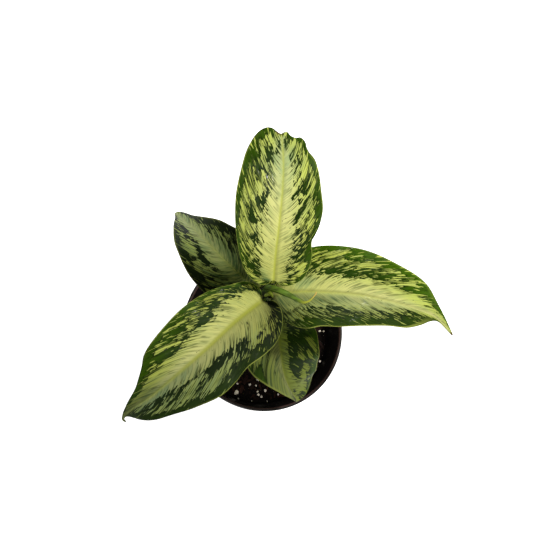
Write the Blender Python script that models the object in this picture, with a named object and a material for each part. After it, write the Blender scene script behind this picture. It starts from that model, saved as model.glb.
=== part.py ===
"""Potted dieffenbachia: a young plant in a round black nursery pot.

The plant has a short cane, five open leaves and one leaf that is still rolled.
Metres, +Z up. The origin is the centre of the pot's base, on the surface that it stands on.
+Y points towards the blunt top leaf, and +X towards the leaf with the long straight drip tip.
"""

import math

import bmesh
import bpy
import numpy as np
from mathutils import Vector, noise

# Lengths below are in millimetres, and the meshes are in metres
MM = 0.001
GAP = 0.35
UP = np.array([0.0, 0.0, 1.0])

# Pot
POT_HEIGHT = 91.0
RIM_RADIUS = 57.0
BASE_RADIUS = 40.0
WALL = 1.2
FLOOR = 1.6
LIP = 1.1
LIP_DEPTH = 2.5
LIP_SLOPE = 0.9
BAND_HEIGHT = 11.0
BAND_STEP = 1.6
BAND_CHAMFER = 0.8
BASE_CORNER = 3.0
DRAIN_HOLES = 6
DRAIN_RADIUS = 4.5
DRAIN_CIRCLE = 28.0
DRAIN_SIDES = 16
POT_SIDES = 60

# Soil
SOIL_TOP = 71.0
SOIL_CLEARANCE = 0.65
HOLE_CLEARANCE = 0.6
SOIL_RINGS = 11
SOIL_SIDES = 48
MOUND_HEIGHT = 1.6
MOUND_RADIUS = 20.5
HUMPS = (1.3, 18.0)
LUMPS = (0.8, 4.3)
GRAIN_COUNT = 26
GRAIN_RADIUS = (1.2, 2.1)
GRAIN_STRETCH = (0.8, 1.25)
GRAIN_LIFT = 0.25
GRAIN_MARGIN = 4.0
GRAIN_SEED = 5

# Cane: its centre line from the foot of its hole to the growing point, and its radius at both ends
CANE_AXIS = ((-1.2, 0.6, 45), (-1.2, 0.6, 72), (-3.2, 1.9, 88), (-7, 4.3, 112), (-10.2, 6.3, 136))
CANE_RADIUS = (7.2, 4.6)
CANE_SCARS = (75.5, 80.5)
SCAR_HEIGHT = 0.5
SCAR_WIDTH = 0.9
CANE_STEP = 6.5
CANE_BEVEL = (0.8, 1.2)
CANE_SIDES = 18

# The growing axis goes on above the cane as the rolled leaf, upright as far as its fifth point
ROLL_AXIS = (
    (-10.4, 6.5, 137.2),
    (-12.8, 7.8, 155),
    (-15.5, 9.3, 176),
    (-16.7, 10.0, 190),
    (-16.0, 10.2, 199),
    (-13.0, 8.0, 206),
    (-6.8, 4.2, 208.5),
    (-1.8, 1.4, 208),
    (2.8, -0.2, 206.5),
    (6.0, 0.9, 205.5),
    (9.5, 3.7, 205),
    (12.5, 7.5, 206),
)
ROLL_UPRIGHT = 5
ROLL_RADII = ((0.0, 4.0), (0.25, 2.9), (0.55, 2.4), (0.76, 2.1), (0.86, 1.2), (0.91, 0.6), (1.0, 0.4))
ROLL_STEP = 0.14
ROLL_RINGS = 30
ROLL_SIDES = 14

# Leaves
BLADE = 0.7
BLADE_ROWS = 24
TIP_ROW = 0.985
COLUMNS = (0.0, 0.07, 0.3, 0.65, 1.0)
VEIN_START = 2.3
VEIN_BOW = 1.2
CURL_REACH = 30.0
FOLD_PLACES = (0, 0.25, 0.75, 1)
ROLL_PLACES = (0, 0.5, 1)
RIB = ((0.0, 3.6), (0.08, 2.6), (0.3, 1.5), (0.6, 0.8), (1.0, 0.2))
RIB_WIDTH = 2.2
WAVE_HEIGHT = 0.9
WAVE_LENGTH = 27.0
WAVE_CALM = (12.0, 25.0)

# Stalks, which widen below into thin sheaths that clasp the growing axis
STALK_RADIUS = 2.2
STALK_GROOVE = 0.35
STALK_RINGS = 11
STALK_SINK = 0.8
SHEATH_WALL = 1.3
SHEATH_EDGE = 0.7
SHEATH_REACH = 1.9
SHEATH_GAP = 0.55
COLLAR_HEIGHT = 5.0
ELBOW = 2.5
ELBOW_LEAN = 0.4
ELBOW_DROP = 2.2
ELBOW_RUN = 4.0

# Each leaf gives the height and azimuth at which its sheath starts on the cane, the length of
# that sheath, stations of its stalk (height, distance from the growing axis, azimuth), its
# midrib from the stalk to the tip, and both margins as (along, across) pairs of the flat blade.
# Fold and roll are in degrees at FOLD_PLACES and ROLL_PLACES, as fractions of the blade's length,
# curl is how far a half bends down over CURL_REACH, and wave is where its margins' ripple starts.
LEAVES = (
    {
        "name": "leaf_north",
        "colour": (0.32, 0.40, 0.09),
        "node": (127, 60),
        "sheath": 36,
        "stalk": ((150, 6.6, 66), (170, 6.2, 60), (188, 6.4, 50)),
        "midrib": ((-13.8, 14, 205), (-14, 28, 213), (-13, 45.5, 220), (-11.5, 69.5, 224),
                   (-11, 89, 223), (-11.5, 104, 219)),
        "fold": (20, 18, 14, 10),
        "roll": (0, 0, 0),
        "curl": 22,
        "wave": 0.1,
        "left": ((-1, 2), (-2.5, 6), (0, 12.5), (6.5, 18.5), (17, 23.5), (35, 28), (52, 29),
                 (72, 25.5), (84, 21.5), (93, 15.5), (98, 8.5), (97, 4), (95, 1)),
        "right": ((-1, 2), (-3, 6), (-1.5, 12), (3, 18), (11, 21.5), (19, 22.5), (28, 21),
                  (37, 24.5), (47, 26), (58, 23.5), (71, 21.5), (77, 19.5), (82, 15.5),
                  (88, 13.5), (92, 7.5), (95.5, 4), (95, 1)),
    },
    {
        "name": "leaf_southwest",
        "colour": (0.33, 0.41, 0.10),
        "node": (118, 228),
        "sheath": 22,
        "stalk": ((150, 9.2, 238), (172, 8.4, 246)),
        "midrib": ((-19, 3, 196), (-37, -12, 203), (-55.5, -30, 205), (-70, -43, 201),
                   (-87, -57.5, 190), (-98.5, -65, 179), (-102, -69.5, 170)),
        "fold": (18, 16, 16, 12),
        "roll": (0, 0, 0),
        "curl": 22,
        "wave": 0.55,
        "left": ((-1, 2), (-5.5, 5), (-4, 13), (4.5, 21.5), (15, 26.5), (28, 27), (41, 25.5),
                 (51, 27), (62, 27), (76, 23), (90, 17), (104, 11.5), (114, 5.5), (123, 0.8)),
        "right": ((-1, 2), (-2.5, 6), (-1, 11), (4, 16.5), (14, 20), (27, 25.5), (40, 28),
                  (55, 28), (70, 25.5), (81, 22), (87, 17.5), (100, 11), (113, 4), (123, 0.8)),
    },
    {
        "name": "leaf_east",
        "colour": (0.30, 0.38, 0.10),
        "node": (108, -10),
        "sheath": 22,
        "stalk": ((136, 9.6, -14), (165, 7.8, -20)),
        "midrib": ((-11.5, 8, 188), (5.5, 9.5, 193), (24, 9, 196), (43.5, 8, 196), (64, 5, 193),
                   (82, 2, 187), (98, -2, 179), (113, -10, 167)),
        "fold": (12, 28, 26, 16),
        "roll": (6, 20, 8),
        "curl": 24,
        "wave": 0.3,
        "left": ((-1, 2), (3, 4.5), (5.5, 8.5), (8, 14.5), (13, 22), (21, 27.5), (34, 31),
                 (48, 31), (62, 28.5), (75, 25), (88, 21), (99, 16), (106, 10.5), (116, 6.5),
                 (132, 1)),
        "right": ((-1, 2), (-2, 7), (3, 13.5), (8, 19), (15, 22.5), (24, 23.5), (32, 22),
                  (45, 21.5), (62, 19), (77, 16), (92, 14), (106, 8), (118, 1.6), (132, 0.8)),
    },
    {
        "name": "leaf_northwest",
        "colour": (0.20, 0.27, 0.08),
        "node": (97, 128),
        "sheath": 20,
        "stalk": ((126, 11, 122), (143, 10.6, 116)),
        "midrib": ((-16.5, 16.5, 158), (-30, 25.5, 167), (-42, 36, 169), (-52, 48.5, 162),
                   (-60.5, 60.5, 148), (-66.5, 71.5, 130)),
        "fold": (16, 18, 18, 14),
        "roll": (0, 0, 0),
        "curl": 20,
        "wave": 0.8,
        "left": ((-1, 2), (-2, 7), (1, 14), (9, 22), (20, 26), (32, 26), (44, 23), (60, 17.5),
                 (74, 10.5), (88, 4), (94, 1)),
        "right": ((-1, 2), (-2, 7), (1, 13), (9, 20.5), (20, 24), (32, 22.5), (42, 19.5),
                  (53, 16.5), (64, 12), (78, 6.5), (90, 3), (94, 1)),
    },
    {
        "name": "leaf_south",
        "colour": (0.22, 0.32, 0.07),
        "node": (86, -70),
        "sheath": 20,
        "stalk": ((115, 12, -58), (133, 12.8, -50)),
        "midrib": ((-2.5, -2, 148), (-1.5, -14.5, 155), (0, -24.5, 155), (3, -34, 147),
                   (9.5, -44, 134), (19, -52, 116)),
        "fold": (16, 22, 20, 14),
        "roll": (0, 0, 0),
        "curl": 20,
        "wave": 0.45,
        "left": ((-1, 2), (-2, 7), (1, 14), (6, 20.5), (13, 25), (22, 25.5), (35, 24.5),
                 (50, 22.5), (63, 19.5), (72, 15.5), (77, 10.5), (78.5, 5), (77.5, 1)),
        "right": ((-1, 2), (-2, 7), (1, 13), (7, 19.5), (15, 24.5), (24, 26), (31, 22.5),
                  (38, 17), (49, 10), (62, 4.7), (72, 2), (77, 1)),
    },
)


def clear_scene():
    for obj in list(bpy.data.objects):
        bpy.data.objects.remove(obj, do_unlink=True)


def material(name, colour, roughness):
    mat = bpy.data.materials.new(name)
    mat.use_nodes = True
    shader = mat.node_tree.nodes["Principled BSDF"]
    shader.inputs["Base Color"].default_value = (*colour, 1.0)
    shader.inputs["Roughness"].default_value = roughness
    shader.inputs["Metallic"].default_value = 0.0
    return mat


def add_object(name, bm, mat, sharp_degrees=40):
    """Makes an object of a bmesh that is in millimetres."""
    bmesh.ops.scale(bm, verts=bm.verts, vec=(MM, MM, MM))
    bmesh.ops.recalc_face_normals(bm, faces=bm.faces)
    mesh = bpy.data.meshes.new(name)
    bm.to_mesh(mesh)
    bm.free()
    mesh.materials.append(mat)
    mesh.shade_smooth()
    mesh.set_sharp_from_angle(angle=math.radians(sharp_degrees))
    obj = bpy.data.objects.new(name, mesh)
    bpy.context.scene.collection.objects.link(obj)
    return obj


def apply_boolean(obj, operation, cutters):
    """Joins or cuts obj with the cutters, all at once, and removes them."""
    group = bpy.data.collections.new(obj.name + "_parts")
    bpy.context.scene.collection.children.link(group)
    for cutter in cutters:
        for home in list(cutter.users_collection):
            home.objects.unlink(cutter)
        group.objects.link(cutter)
    modifier = obj.modifiers.new(operation.lower(), "BOOLEAN")
    modifier.operation = operation
    modifier.operand_type = "COLLECTION"
    modifier.collection = group
    modifier.solver = "EXACT"
    bpy.context.view_layer.objects.active = obj
    bpy.ops.object.modifier_apply(modifier=modifier.name)
    for cutter in cutters:
        bpy.data.objects.remove(cutter, do_unlink=True)
    bpy.data.collections.remove(group)


def clamp(value):
    return min(max(value, 0.0), 1.0)


def ease(value):
    """A smooth step from 0 to 1."""
    share = clamp(value)
    return share * share * (3 - 2 * share)


def unit(vector):
    return vector / np.linalg.norm(vector)


def heading(degrees):
    angle = math.radians(degrees)
    return np.array([math.cos(angle), math.sin(angle), 0.0])


def sample(place, places, points):
    """The point at a place on a path whose points lie at the given places."""
    return np.array([np.interp(place, places, column) for column in points.T])


def smooth_path(points, count, steps=24):
    """Points evenly spread along a centripetal Catmull-Rom curve, and the curve's length."""
    knots = np.asarray(points, float)
    knots = np.vstack([2 * knots[0] - knots[1], knots, 2 * knots[-1] - knots[-2]])
    fine = []
    for p0, p1, p2, p3 in zip(knots, knots[1:], knots[2:], knots[3:]):
        t1 = np.linalg.norm(p1 - p0) ** 0.5
        t2 = t1 + np.linalg.norm(p2 - p1) ** 0.5
        t3 = t2 + np.linalg.norm(p3 - p2) ** 0.5
        for t in np.linspace(t1, t2, steps, endpoint=False):
            a1 = ((t1 - t) * p0 + t * p1) / t1
            a2 = ((t2 - t) * p1 + (t - t1) * p2) / (t2 - t1)
            a3 = ((t3 - t) * p2 + (t - t2) * p3) / (t3 - t2)
            b1 = ((t2 - t) * a1 + t * a2) / t2
            b2 = ((t3 - t) * a2 + (t - t1) * a3) / (t3 - t1)
            fine.append(((t2 - t) * b1 + (t - t1) * b2) / (t2 - t1))
    fine.append(knots[-2])
    fine = np.array(fine)
    reach = np.append(0, np.cumsum(np.linalg.norm(np.diff(fine, axis=0), axis=1)))
    even = np.linspace(0, reach[-1], count)
    return np.stack([np.interp(even, reach, column) for column in fine.T], -1), reach[-1]


def tangents(path):
    slopes = np.gradient(path, axis=0)
    return slopes / np.linalg.norm(slopes, axis=1)[:, None]


def skin(bm, rings, end_point=None):
    """Joins closed rings of equally many points, with flat ends, or a last end at a point.

    A ring runs over the upper face and back along the lower one. Both faces are split into
    triangles along the same lines, so that a thin blade keeps its thickness.
    """
    rows = [[bm.verts.new(point) for point in ring] for ring in rings]
    count = len(rows[0])
    half = count // 2
    for first, second in zip(rows, rows[1:]):
        for i in range(count):
            k = (i + 1) % count
            if i < half:
                bm.faces.new((first[i], first[k], second[k]))
                bm.faces.new((first[i], second[k], second[i]))
            else:
                bm.faces.new((first[i], first[k], second[i]))
                bm.faces.new((first[k], second[k], second[i]))
    ends = [rows[0]] if end_point is not None else [rows[0], rows[-1]]
    for row in ends:
        for i in range(half - 1):
            k = count - 1 - i
            bm.faces.new((row[i], row[i + 1], row[k - 1]))
            bm.faces.new((row[i], row[k - 1], row[k]))
    if end_point is not None:
        tip = bm.verts.new(end_point)
        for i in range(count):
            bm.faces.new((rows[-1][i], rows[-1][(i + 1) % count], tip))


def arc(centre, radius, start, end, steps):
    angles = np.radians(np.linspace(start, end, steps))
    return [(centre[0] + radius * math.cos(a), centre[1] + radius * math.sin(a)) for a in angles]


def wall_outside(height):
    """Radius of the pot's outer wall below its rim band."""
    top = RIM_RADIUS - LIP - BAND_STEP
    return BASE_RADIUS + (top - BASE_RADIUS) * height / POT_HEIGHT


def wall_inside(height):
    return wall_outside(height) - WALL


def turned(profile, sides):
    """A bmesh of (radius, height) pairs spun round the axis, on which the first and last lie."""
    bm = bmesh.new()
    verts = [bm.verts.new((radius, 0, height)) for radius, height in profile]
    edges = [bm.edges.new(pair) for pair in zip(verts, verts[1:])]
    bmesh.ops.spin(
        bm, geom=verts + edges, cent=(0, 0, 0), axis=(0, 0, 1),
        angle=2 * math.pi, steps=sides, use_merge=True,
    )
    bmesh.ops.remove_doubles(bm, verts=bm.verts, dist=MM)
    return bm


def make_pot():
    band_foot = POT_HEIGHT - BAND_HEIGHT
    lip_centre = (RIM_RADIUS - LIP, POT_HEIGHT - LIP)
    profile = [(0, 0)]
    profile += arc((BASE_RADIUS - BASE_CORNER, BASE_CORNER), BASE_CORNER, -90, -8, 4)
    profile += [
        (wall_outside(band_foot), band_foot),
        (wall_outside(band_foot + BAND_CHAMFER) + BAND_STEP, band_foot + BAND_CHAMFER),
    ]
    profile += arc(lip_centre, LIP, -20, 180, 8)
    profile += [
        (lip_centre[0] - LIP - LIP_SLOPE, lip_centre[1] - LIP_DEPTH),
        (wall_inside(band_foot), band_foot),
        (wall_inside(FLOOR + BASE_CORNER), FLOOR + BASE_CORNER),
        (wall_inside(FLOOR) - BASE_CORNER, FLOOR),
        (0, FLOOR),
    ]
    plastic = material("black_plastic", (0.012, 0.012, 0.014), 0.4)
    pot = add_object("pot", turned(profile, POT_SIDES), plastic, 30)
    holes = []
    for k in range(DRAIN_HOLES):
        place = DRAIN_CIRCLE * heading(360 / DRAIN_HOLES * (k + 0.5)) * MM
        bpy.ops.mesh.primitive_cylinder_add(
            vertices=DRAIN_SIDES, radius=DRAIN_RADIUS * MM, depth=4 * FLOOR * MM, location=place
        )
        holes.append(bpy.context.object)
    apply_boolean(pot, "DIFFERENCE", holes)


def soil_height(x, y):
    """The uneven top of the soil, a little higher round the cane."""
    mound = MOUND_HEIGHT * math.exp(-(x * x + y * y) / MOUND_RADIUS**2)
    humps = HUMPS[0] * noise.noise(Vector((x, y, 0)) / HUMPS[1])
    lumps = LUMPS[0] * noise.noise(Vector((x, y, HUMPS[1])) / LUMPS[1])
    return SOIL_TOP + mound + humps + lumps


def make_soil():
    hole = CANE_RADIUS[0] + HOLE_CLEARANCE
    hole_x, hole_y, hole_foot = CANE_AXIS[0]
    hole_foot -= GAP
    edge = wall_inside(SOIL_TOP) - SOIL_CLEARANCE
    foot = FLOOR + GAP
    lower = (
        (wall_inside(foot + BASE_CORNER) - SOIL_CLEARANCE, foot + BASE_CORNER),
        (wall_inside(foot) - BASE_CORNER - GAP, foot),
    )
    columns = []
    for k in range(SOIL_SIDES):
        side = heading(360 / SOIL_SIDES * k)
        column = [(hole_x + hole * side[0], hole_y + hole * side[1], hole_foot)]
        for ring in range(SOIL_RINGS + 1):
            share = ring / SOIL_RINGS
            radius = hole + (edge - hole) * share
            x = hole_x * (1 - share) + radius * side[0]
            y = hole_y * (1 - share) + radius * side[1]
            column.append((x, y, soil_height(x, y)))
        column += [(radius * side[0], radius * side[1], height) for radius, height in lower]
        columns.append(column)
    bm = bmesh.new()
    rows = [[bm.verts.new(point) for point in column] for column in columns]
    hole_centre = bm.verts.new((hole_x, hole_y, hole_foot))
    foot_centre = bm.verts.new((0, 0, foot))
    for first, second in zip(rows, rows[1:] + rows[:1]):
        bm.faces.new((hole_centre, first[0], second[0]))
        bm.faces.new((foot_centre, second[-1], first[-1]))
        for i in range(len(first) - 1):
            bm.faces.new((first[i], first[i + 1], second[i + 1]))
            bm.faces.new((first[i], second[i + 1], second[i]))
    soil = add_object("soil", bm, material("potting_soil", (0.030, 0.016, 0.011), 0.95), 60)
    apply_boolean(soil, "UNION", soil_grains(edge - GRAIN_MARGIN, hole + GRAIN_MARGIN))


def soil_grains(outer, inner):
    """Coarse grains strewn between the cane and the wall, sunk into the soil's top."""
    draw = np.random.default_rng(GRAIN_SEED)
    grains = []
    while len(grains) < GRAIN_COUNT:
        x, y = draw.uniform(-outer, outer, 2)
        size = draw.uniform(*GRAIN_RADIUS)
        turn = draw.uniform(0, 2 * math.pi, 3)
        stretch = draw.uniform(*GRAIN_STRETCH, 3)
        from_cane = math.hypot(x - CANE_AXIS[0][0], y - CANE_AXIS[0][1])
        if from_cane < inner or math.hypot(x, y) > outer:
            continue
        place = Vector((x, y, soil_height(x, y) + GRAIN_LIFT * size)) * MM
        bpy.ops.mesh.primitive_ico_sphere_add(
            subdivisions=1, radius=size * MM, location=place, rotation=turn, scale=stretch
        )
        grains.append(bpy.context.object)
    return grains


def axis_path():
    """The upright growing axis: the cane, and the rolled leaf's stalk above it."""
    cane, _ = smooth_path(CANE_AXIS, 60)
    roll, _ = smooth_path(ROLL_AXIS[:ROLL_UPRIGHT], 60)
    return np.vstack([cane, roll[1:]])


def on_axis(height):
    path = axis_path()
    return sample(height, path[:, 2], path)


def cane_radius(height):
    share = clamp((height - CANE_AXIS[1][2]) / (CANE_AXIS[-1][2] - CANE_AXIS[1][2]))
    radius = CANE_RADIUS[0] + (CANE_RADIUS[1] - CANE_RADIUS[0]) * share
    scars = [math.exp(-(((height - scar) / SCAR_WIDTH) ** 2)) for scar in CANE_SCARS]
    return radius + SCAR_HEIGHT * sum(scars)


def make_cane():
    foot, top = CANE_AXIS[0][2], CANE_AXIS[-1][2]
    inset, bevel = CANE_BEVEL
    heights = [foot, 60, 70, 73]
    for scar in CANE_SCARS:
        heights += [scar - 1.2, scar, scar + 1.2]
    heights += list(np.arange(85, top, CANE_STEP)) + [top - bevel, top]
    rings = []
    for height in heights:
        radius = cane_radius(height) - (inset if height == top else 0)
        around = [heading(360 / CANE_SIDES * k) for k in range(CANE_SIDES)]
        rings.append([on_axis(height) + radius * side for side in around])
    bm = bmesh.new()
    skin(bm, rings)
    add_object("stem", bm, material("cane_green", (0.13, 0.19, 0.06), 0.5))


def roll_frames(path):
    """Side and upward directions along the rolled leaf, carried along it without twist."""
    ahead = tangents(path)
    side = unit(np.cross(ahead[0], (0.0, 1.0, 0.0)))
    frames = []
    for direction in ahead:
        side = unit(side - np.dot(side, direction) * direction)
        frames.append((side, np.cross(direction, side)))
    return frames


def make_rolled_leaf():
    """A tapered roll whose outer turn ends in a step down on to the turn below it."""
    path, _ = smooth_path(ROLL_AXIS, ROLL_RINGS)
    rings = []
    for k, (side, up) in enumerate(roll_frames(path)[:-1]):
        radius = np.interp(k / (len(path) - 1), *zip(*ROLL_RADII))
        ring = []
        for i in range(ROLL_SIDES):
            angle = 2 * math.pi * i / ROLL_SIDES
            spiral = radius * (1 - ROLL_STEP * i / ROLL_SIDES)
            ring.append(path[k] + spiral * (math.cos(angle) * side + math.sin(angle) * up))
        rings.append(ring)
    bm = bmesh.new()
    skin(bm, rings, path[-1])
    add_object("rolled_leaf", bm, material("new_leaf_green", (0.10, 0.20, 0.04), 0.35))


class Blade:
    """Maps a flat blade, (along, across) from the stalk's end, to its place in space."""

    def __init__(self, leaf):
        self.path, self.length = smooth_path(leaf["midrib"], 81)
        self.ahead = tangents(self.path)
        self.reach = np.linspace(0, self.length, len(self.path))
        self.fold = np.radians(leaf["fold"])
        self.roll = np.radians(leaf["roll"])
        self.bend = math.radians(leaf["curl"]) / CURL_REACH
        self.wave = leaf["wave"]
        self.margins = {}
        for sign, key in ((1, "left"), (-1, "right")):
            line, _ = smooth_path(leaf[key], 200)
            self.margins[sign] = line * (1, sign)

    def frame(self, along):
        inside = min(max(along, 0), self.length)
        point = sample(inside, self.reach, self.path)
        ahead = unit(sample(inside, self.reach, self.ahead))
        left = unit(np.cross(UP, ahead))
        up = np.cross(ahead, left)
        roll = np.interp(inside / self.length, ROLL_PLACES, self.roll)
        turned_left = math.cos(roll) * left + math.sin(roll) * up
        turned_up = math.cos(roll) * up - math.sin(roll) * left
        return point + (along - inside) * ahead, ahead, turned_left, turned_up

    def ripple(self, along, across):
        """Height of the wave that runs along the outer part of a half, out of step with the other."""
        calm, full = WAVE_CALM
        grow = ease((abs(across) - calm) / (full - calm))
        shift = self.wave + (0.5 if across > 0 else 0)
        return WAVE_HEIGHT * grow * math.sin(2 * math.pi * (along / WAVE_LENGTH + shift))

    def place(self, along, across):
        """The point of the upper face there, and the direction away from that face."""
        point, _, left, up = self.frame(along)
        start = np.interp(along / self.length, FOLD_PLACES, self.fold)
        slope = start - self.bend * abs(across)
        sideways = (math.sin(start) - math.sin(slope)) / self.bend
        rise = (math.cos(slope) - math.cos(start)) / self.bend
        sign = 1 if across >= 0 else -1
        normal = math.cos(slope) * up - sign * math.sin(slope) * left
        if across == 0:
            normal = up
        surface = point + sign * sideways * left + rise * up
        return surface + self.ripple(along, across) * normal, normal

    def flat(self, row, column, sign):
        """Flat place of a row, 0 to 1 from base to tip, and a column, 0 to 1 from midrib to margin."""
        line = self.margins[sign]
        edge = sample(row * (len(line) - 1), np.arange(len(line)), line)
        start = self.length * row**VEIN_START
        return start + (edge[0] - start) * column**VEIN_BOW, edge[1] * column

    def thickness(self, along, across):
        rib = np.interp(along / self.length, *zip(*RIB))
        return BLADE + rib * math.exp(-((across / RIB_WIDTH) ** 2))

    def ring(self, row):
        """Upper face from the left margin to the right one, then the lower face back."""
        upper, lower = [], []
        stations = [(1, c) for c in reversed(COLUMNS)] + [(-1, c) for c in COLUMNS[1:]]
        for sign, column in stations:
            along, across = self.flat(row, column, sign)
            point, normal = self.place(along, across)
            upper.append(point)
            lower.append(point - self.thickness(along, across) * normal)
        return upper + lower[::-1]


def section_shares():
    """Places across a stalk's or sheath's section, -1 to 1, as many as across a blade."""
    half = len(COLUMNS) - 1
    return [k / half for k in range(-half, half + 1)]


def round_section(radius):
    """Stalk section as (sideways, outward) pairs, outward counted from the side at the cane."""
    shares = section_shares()
    widest = 180 - 180 / len(shares)
    inner, outer = [], []
    for share in shares:
        angle = math.radians(widest / 2 * share)
        groove = STALK_GROOVE * radius * math.cos(angle) ** 6
        inner.append((-radius * math.sin(angle), radius - radius * math.cos(angle) + groove))
        outer.append((-radius * math.sin(angle), radius + radius * math.cos(angle)))
    return inner + outer[::-1]


def sheath_section(half_width):
    """Section of the thin sheath, laid out flat, in the same order as round_section."""
    inner, outer = [], []
    for share in section_shares():
        wall = SHEATH_EDGE + (SHEATH_WALL - SHEATH_EDGE) * (1 - share * share)
        inner.append((-half_width * share, 0.0))
        outer.append((-half_width * share, wall))
    return inner + outer[::-1]


def stalk_places(leaf, blade):
    """Points that a leaf's stalk runs through, and the point under the blade where it ends."""
    node, azimuth = leaf["node"]
    hug = cane_radius(node) + SHEATH_GAP + STALK_RADIUS
    collar_top = node + COLLAR_HEIGHT
    places = [on_axis(height) + hug * heading(azimuth) for height in (node, collar_top)]
    if leaf is not LEAVES[0]:
        # Only the youngest leaf's sheath lies on the rolled leaf, and the others clear a sheath
        clear = hug + SHEATH_WALL + GAP
        places.append(on_axis(collar_top + COLLAR_HEIGHT) + clear * heading(azimuth))
    places += [on_axis(height) + out * heading(angle) for height, out, angle in leaf["stalk"]]
    base, ahead, _, up = blade.frame(0)
    under = base - STALK_SINK * STALK_RADIUS * up
    places += [
        under - ELBOW * (ELBOW_LEAN * ahead + ELBOW_DROP * UP),
        under,
        under + ELBOW_RUN * ahead,
    ]
    return places, under


def stalk_rings(leaf, blade):
    """Rings from the sheath's foot on the cane up to just under the blade."""
    places, under = stalk_places(leaf, blade)
    path, length = smooth_path(places, 160)
    directions = tangents(path)
    reach = np.linspace(0, length, len(path))
    end = reach[np.argmin(np.linalg.norm(path - under, axis=1))] - ELBOW
    left = blade.frame(0)[2]
    wide = SHEATH_REACH * (cane_radius(leaf["node"][0]) + SHEATH_GAP)
    thin = np.array(sheath_section(wide))
    full = np.array(round_section(STALK_RADIUS))
    rings = []
    for s in [0] + list(np.linspace(COLLAR_HEIGHT, end, STALK_RINGS)):
        centre = sample(s, reach, path)
        fade = ease((s - COLLAR_HEIGHT) / leaf["sheath"])
        section = thin + (full - thin) * fade
        if fade < 1:
            axis = on_axis(centre[2])
            away = centre - axis
            near = np.linalg.norm(away) - STALK_RADIUS
            facing = math.degrees(math.atan2(away[1], away[0]))
            ring = [
                axis + (near + out) * heading(facing + math.degrees(side / near))
                for side, out in section
            ]
        else:
            direction = unit(sample(s, reach, directions))
            across = unit(left - np.dot(left, direction) * direction)
            upward = np.cross(direction, across)
            ring = [
                centre + side * across + (STALK_RADIUS - out) * upward for side, out in section
            ]
        rings.append(ring)
    return rings


def make_leaf(leaf):
    blade = Blade(leaf)
    rings = stalk_rings(leaf, blade)
    for k in range(BLADE_ROWS):
        rings.append(blade.ring(k / BLADE_ROWS * TIP_ROW))
    tip, normal = blade.place(blade.length, 0)
    bm = bmesh.new()
    skin(bm, rings, tip - BLADE / 2 * normal)
    add_object(leaf["name"], bm, material(leaf["name"], leaf["colour"], 0.4))


def main():
    clear_scene()
    make_pot()
    make_soil()
    make_cane()
    make_rolled_leaf()
    for leaf in LEAVES:
        make_leaf(leaf)


main()
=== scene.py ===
"""Potted dieffenbachia: a young plant with patterned leaves in a round black nursery pot.

The file is laid out as an add-on and run as a script. Lengths inside it are in millimetres
unless a property says otherwise, and meshes are made in metres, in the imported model's frame.
"""

import math

import bmesh
import bpy
import numpy as np
from bpy.props import FloatProperty, FloatVectorProperty, IntProperty, PointerProperty
from mathutils import Matrix, Vector, noise


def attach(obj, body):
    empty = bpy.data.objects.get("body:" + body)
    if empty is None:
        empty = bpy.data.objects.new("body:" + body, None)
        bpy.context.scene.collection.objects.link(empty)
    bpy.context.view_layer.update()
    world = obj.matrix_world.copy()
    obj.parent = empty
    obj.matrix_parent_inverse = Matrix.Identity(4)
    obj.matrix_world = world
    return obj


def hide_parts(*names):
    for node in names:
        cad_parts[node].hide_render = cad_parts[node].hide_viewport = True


bl_info = {
    "name": "Potted dieffenbachia",
    "version": (1, 0, 0),
    "blender": (4, 5, 0),
    "location": "3D View > Sidebar > Potted plant",
    "description": "Builds a potted foliage plant piece by piece over its packed model",
    "category": "Object",
}

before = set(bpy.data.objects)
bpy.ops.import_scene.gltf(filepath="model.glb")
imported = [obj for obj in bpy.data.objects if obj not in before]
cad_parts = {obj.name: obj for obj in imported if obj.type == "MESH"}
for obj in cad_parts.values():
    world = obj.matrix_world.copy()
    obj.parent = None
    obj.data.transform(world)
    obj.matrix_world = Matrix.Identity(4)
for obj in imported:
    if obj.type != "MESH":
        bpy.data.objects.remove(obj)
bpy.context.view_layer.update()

MM = 0.001
UP = np.array([0.0, 0.0, 1.0])
# Play between solids that must not touch
GAP = 0.35


def tone(red, green, blue):
    """A linear colour from display values of 0 to 255."""
    shares = [value / 255 for value in (red, green, blue)]
    return tuple(s / 12.92 if s <= 0.04045 else ((s + 0.055) / 1.055) ** 2.4 for s in shares)


def length_property(name, description, default):
    return FloatProperty(
        name=name, description=description, default=default, unit="LENGTH", min=0.0
    )


def strength_property(name, description, default):
    return FloatProperty(name=name, description=description, default=default, min=0.0)


def count_property(name, description, default, least=0):
    return IntProperty(name=name, description=description, default=default, min=least)


def group_property(group, name, description):
    return PointerProperty(type=group, name=name, description=description)


def colour_property(name, description, default):
    return FloatVectorProperty(
        name=name, description=description, default=default,
        subtype="COLOR", size=3, min=0.0, max=1.0,
    )


def shaded(colour, factor):
    """A colour times a number."""
    return tuple(value * factor for value in colour)


def sum_of(share, first, other_share, second):
    """Two colours, each times its share, added up."""
    return tuple(share * a + other_share * b for a, b in zip(first, second))


# Curves and small helpers


def unit(vector):
    return vector / np.linalg.norm(vector, axis=-1, keepdims=True)


def stacked(*columns):
    """Columns side by side, of which single numbers are repeated all the way down."""
    return np.stack(np.broadcast_arrays(*columns), -1)


def heading(degrees):
    angle = np.radians(degrees)
    return stacked(np.cos(angle), np.sin(angle), 0.0)


def ease(value):
    """A smooth step from 0 to 1."""
    share = np.clip(value, 0.0, 1.0)
    return share * share * (3 - 2 * share)


def sample(place, places, points):
    """Points at places on a path whose points lie at the given places."""
    return stacked(*(np.interp(place, places, column) for column in points.T))


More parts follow.
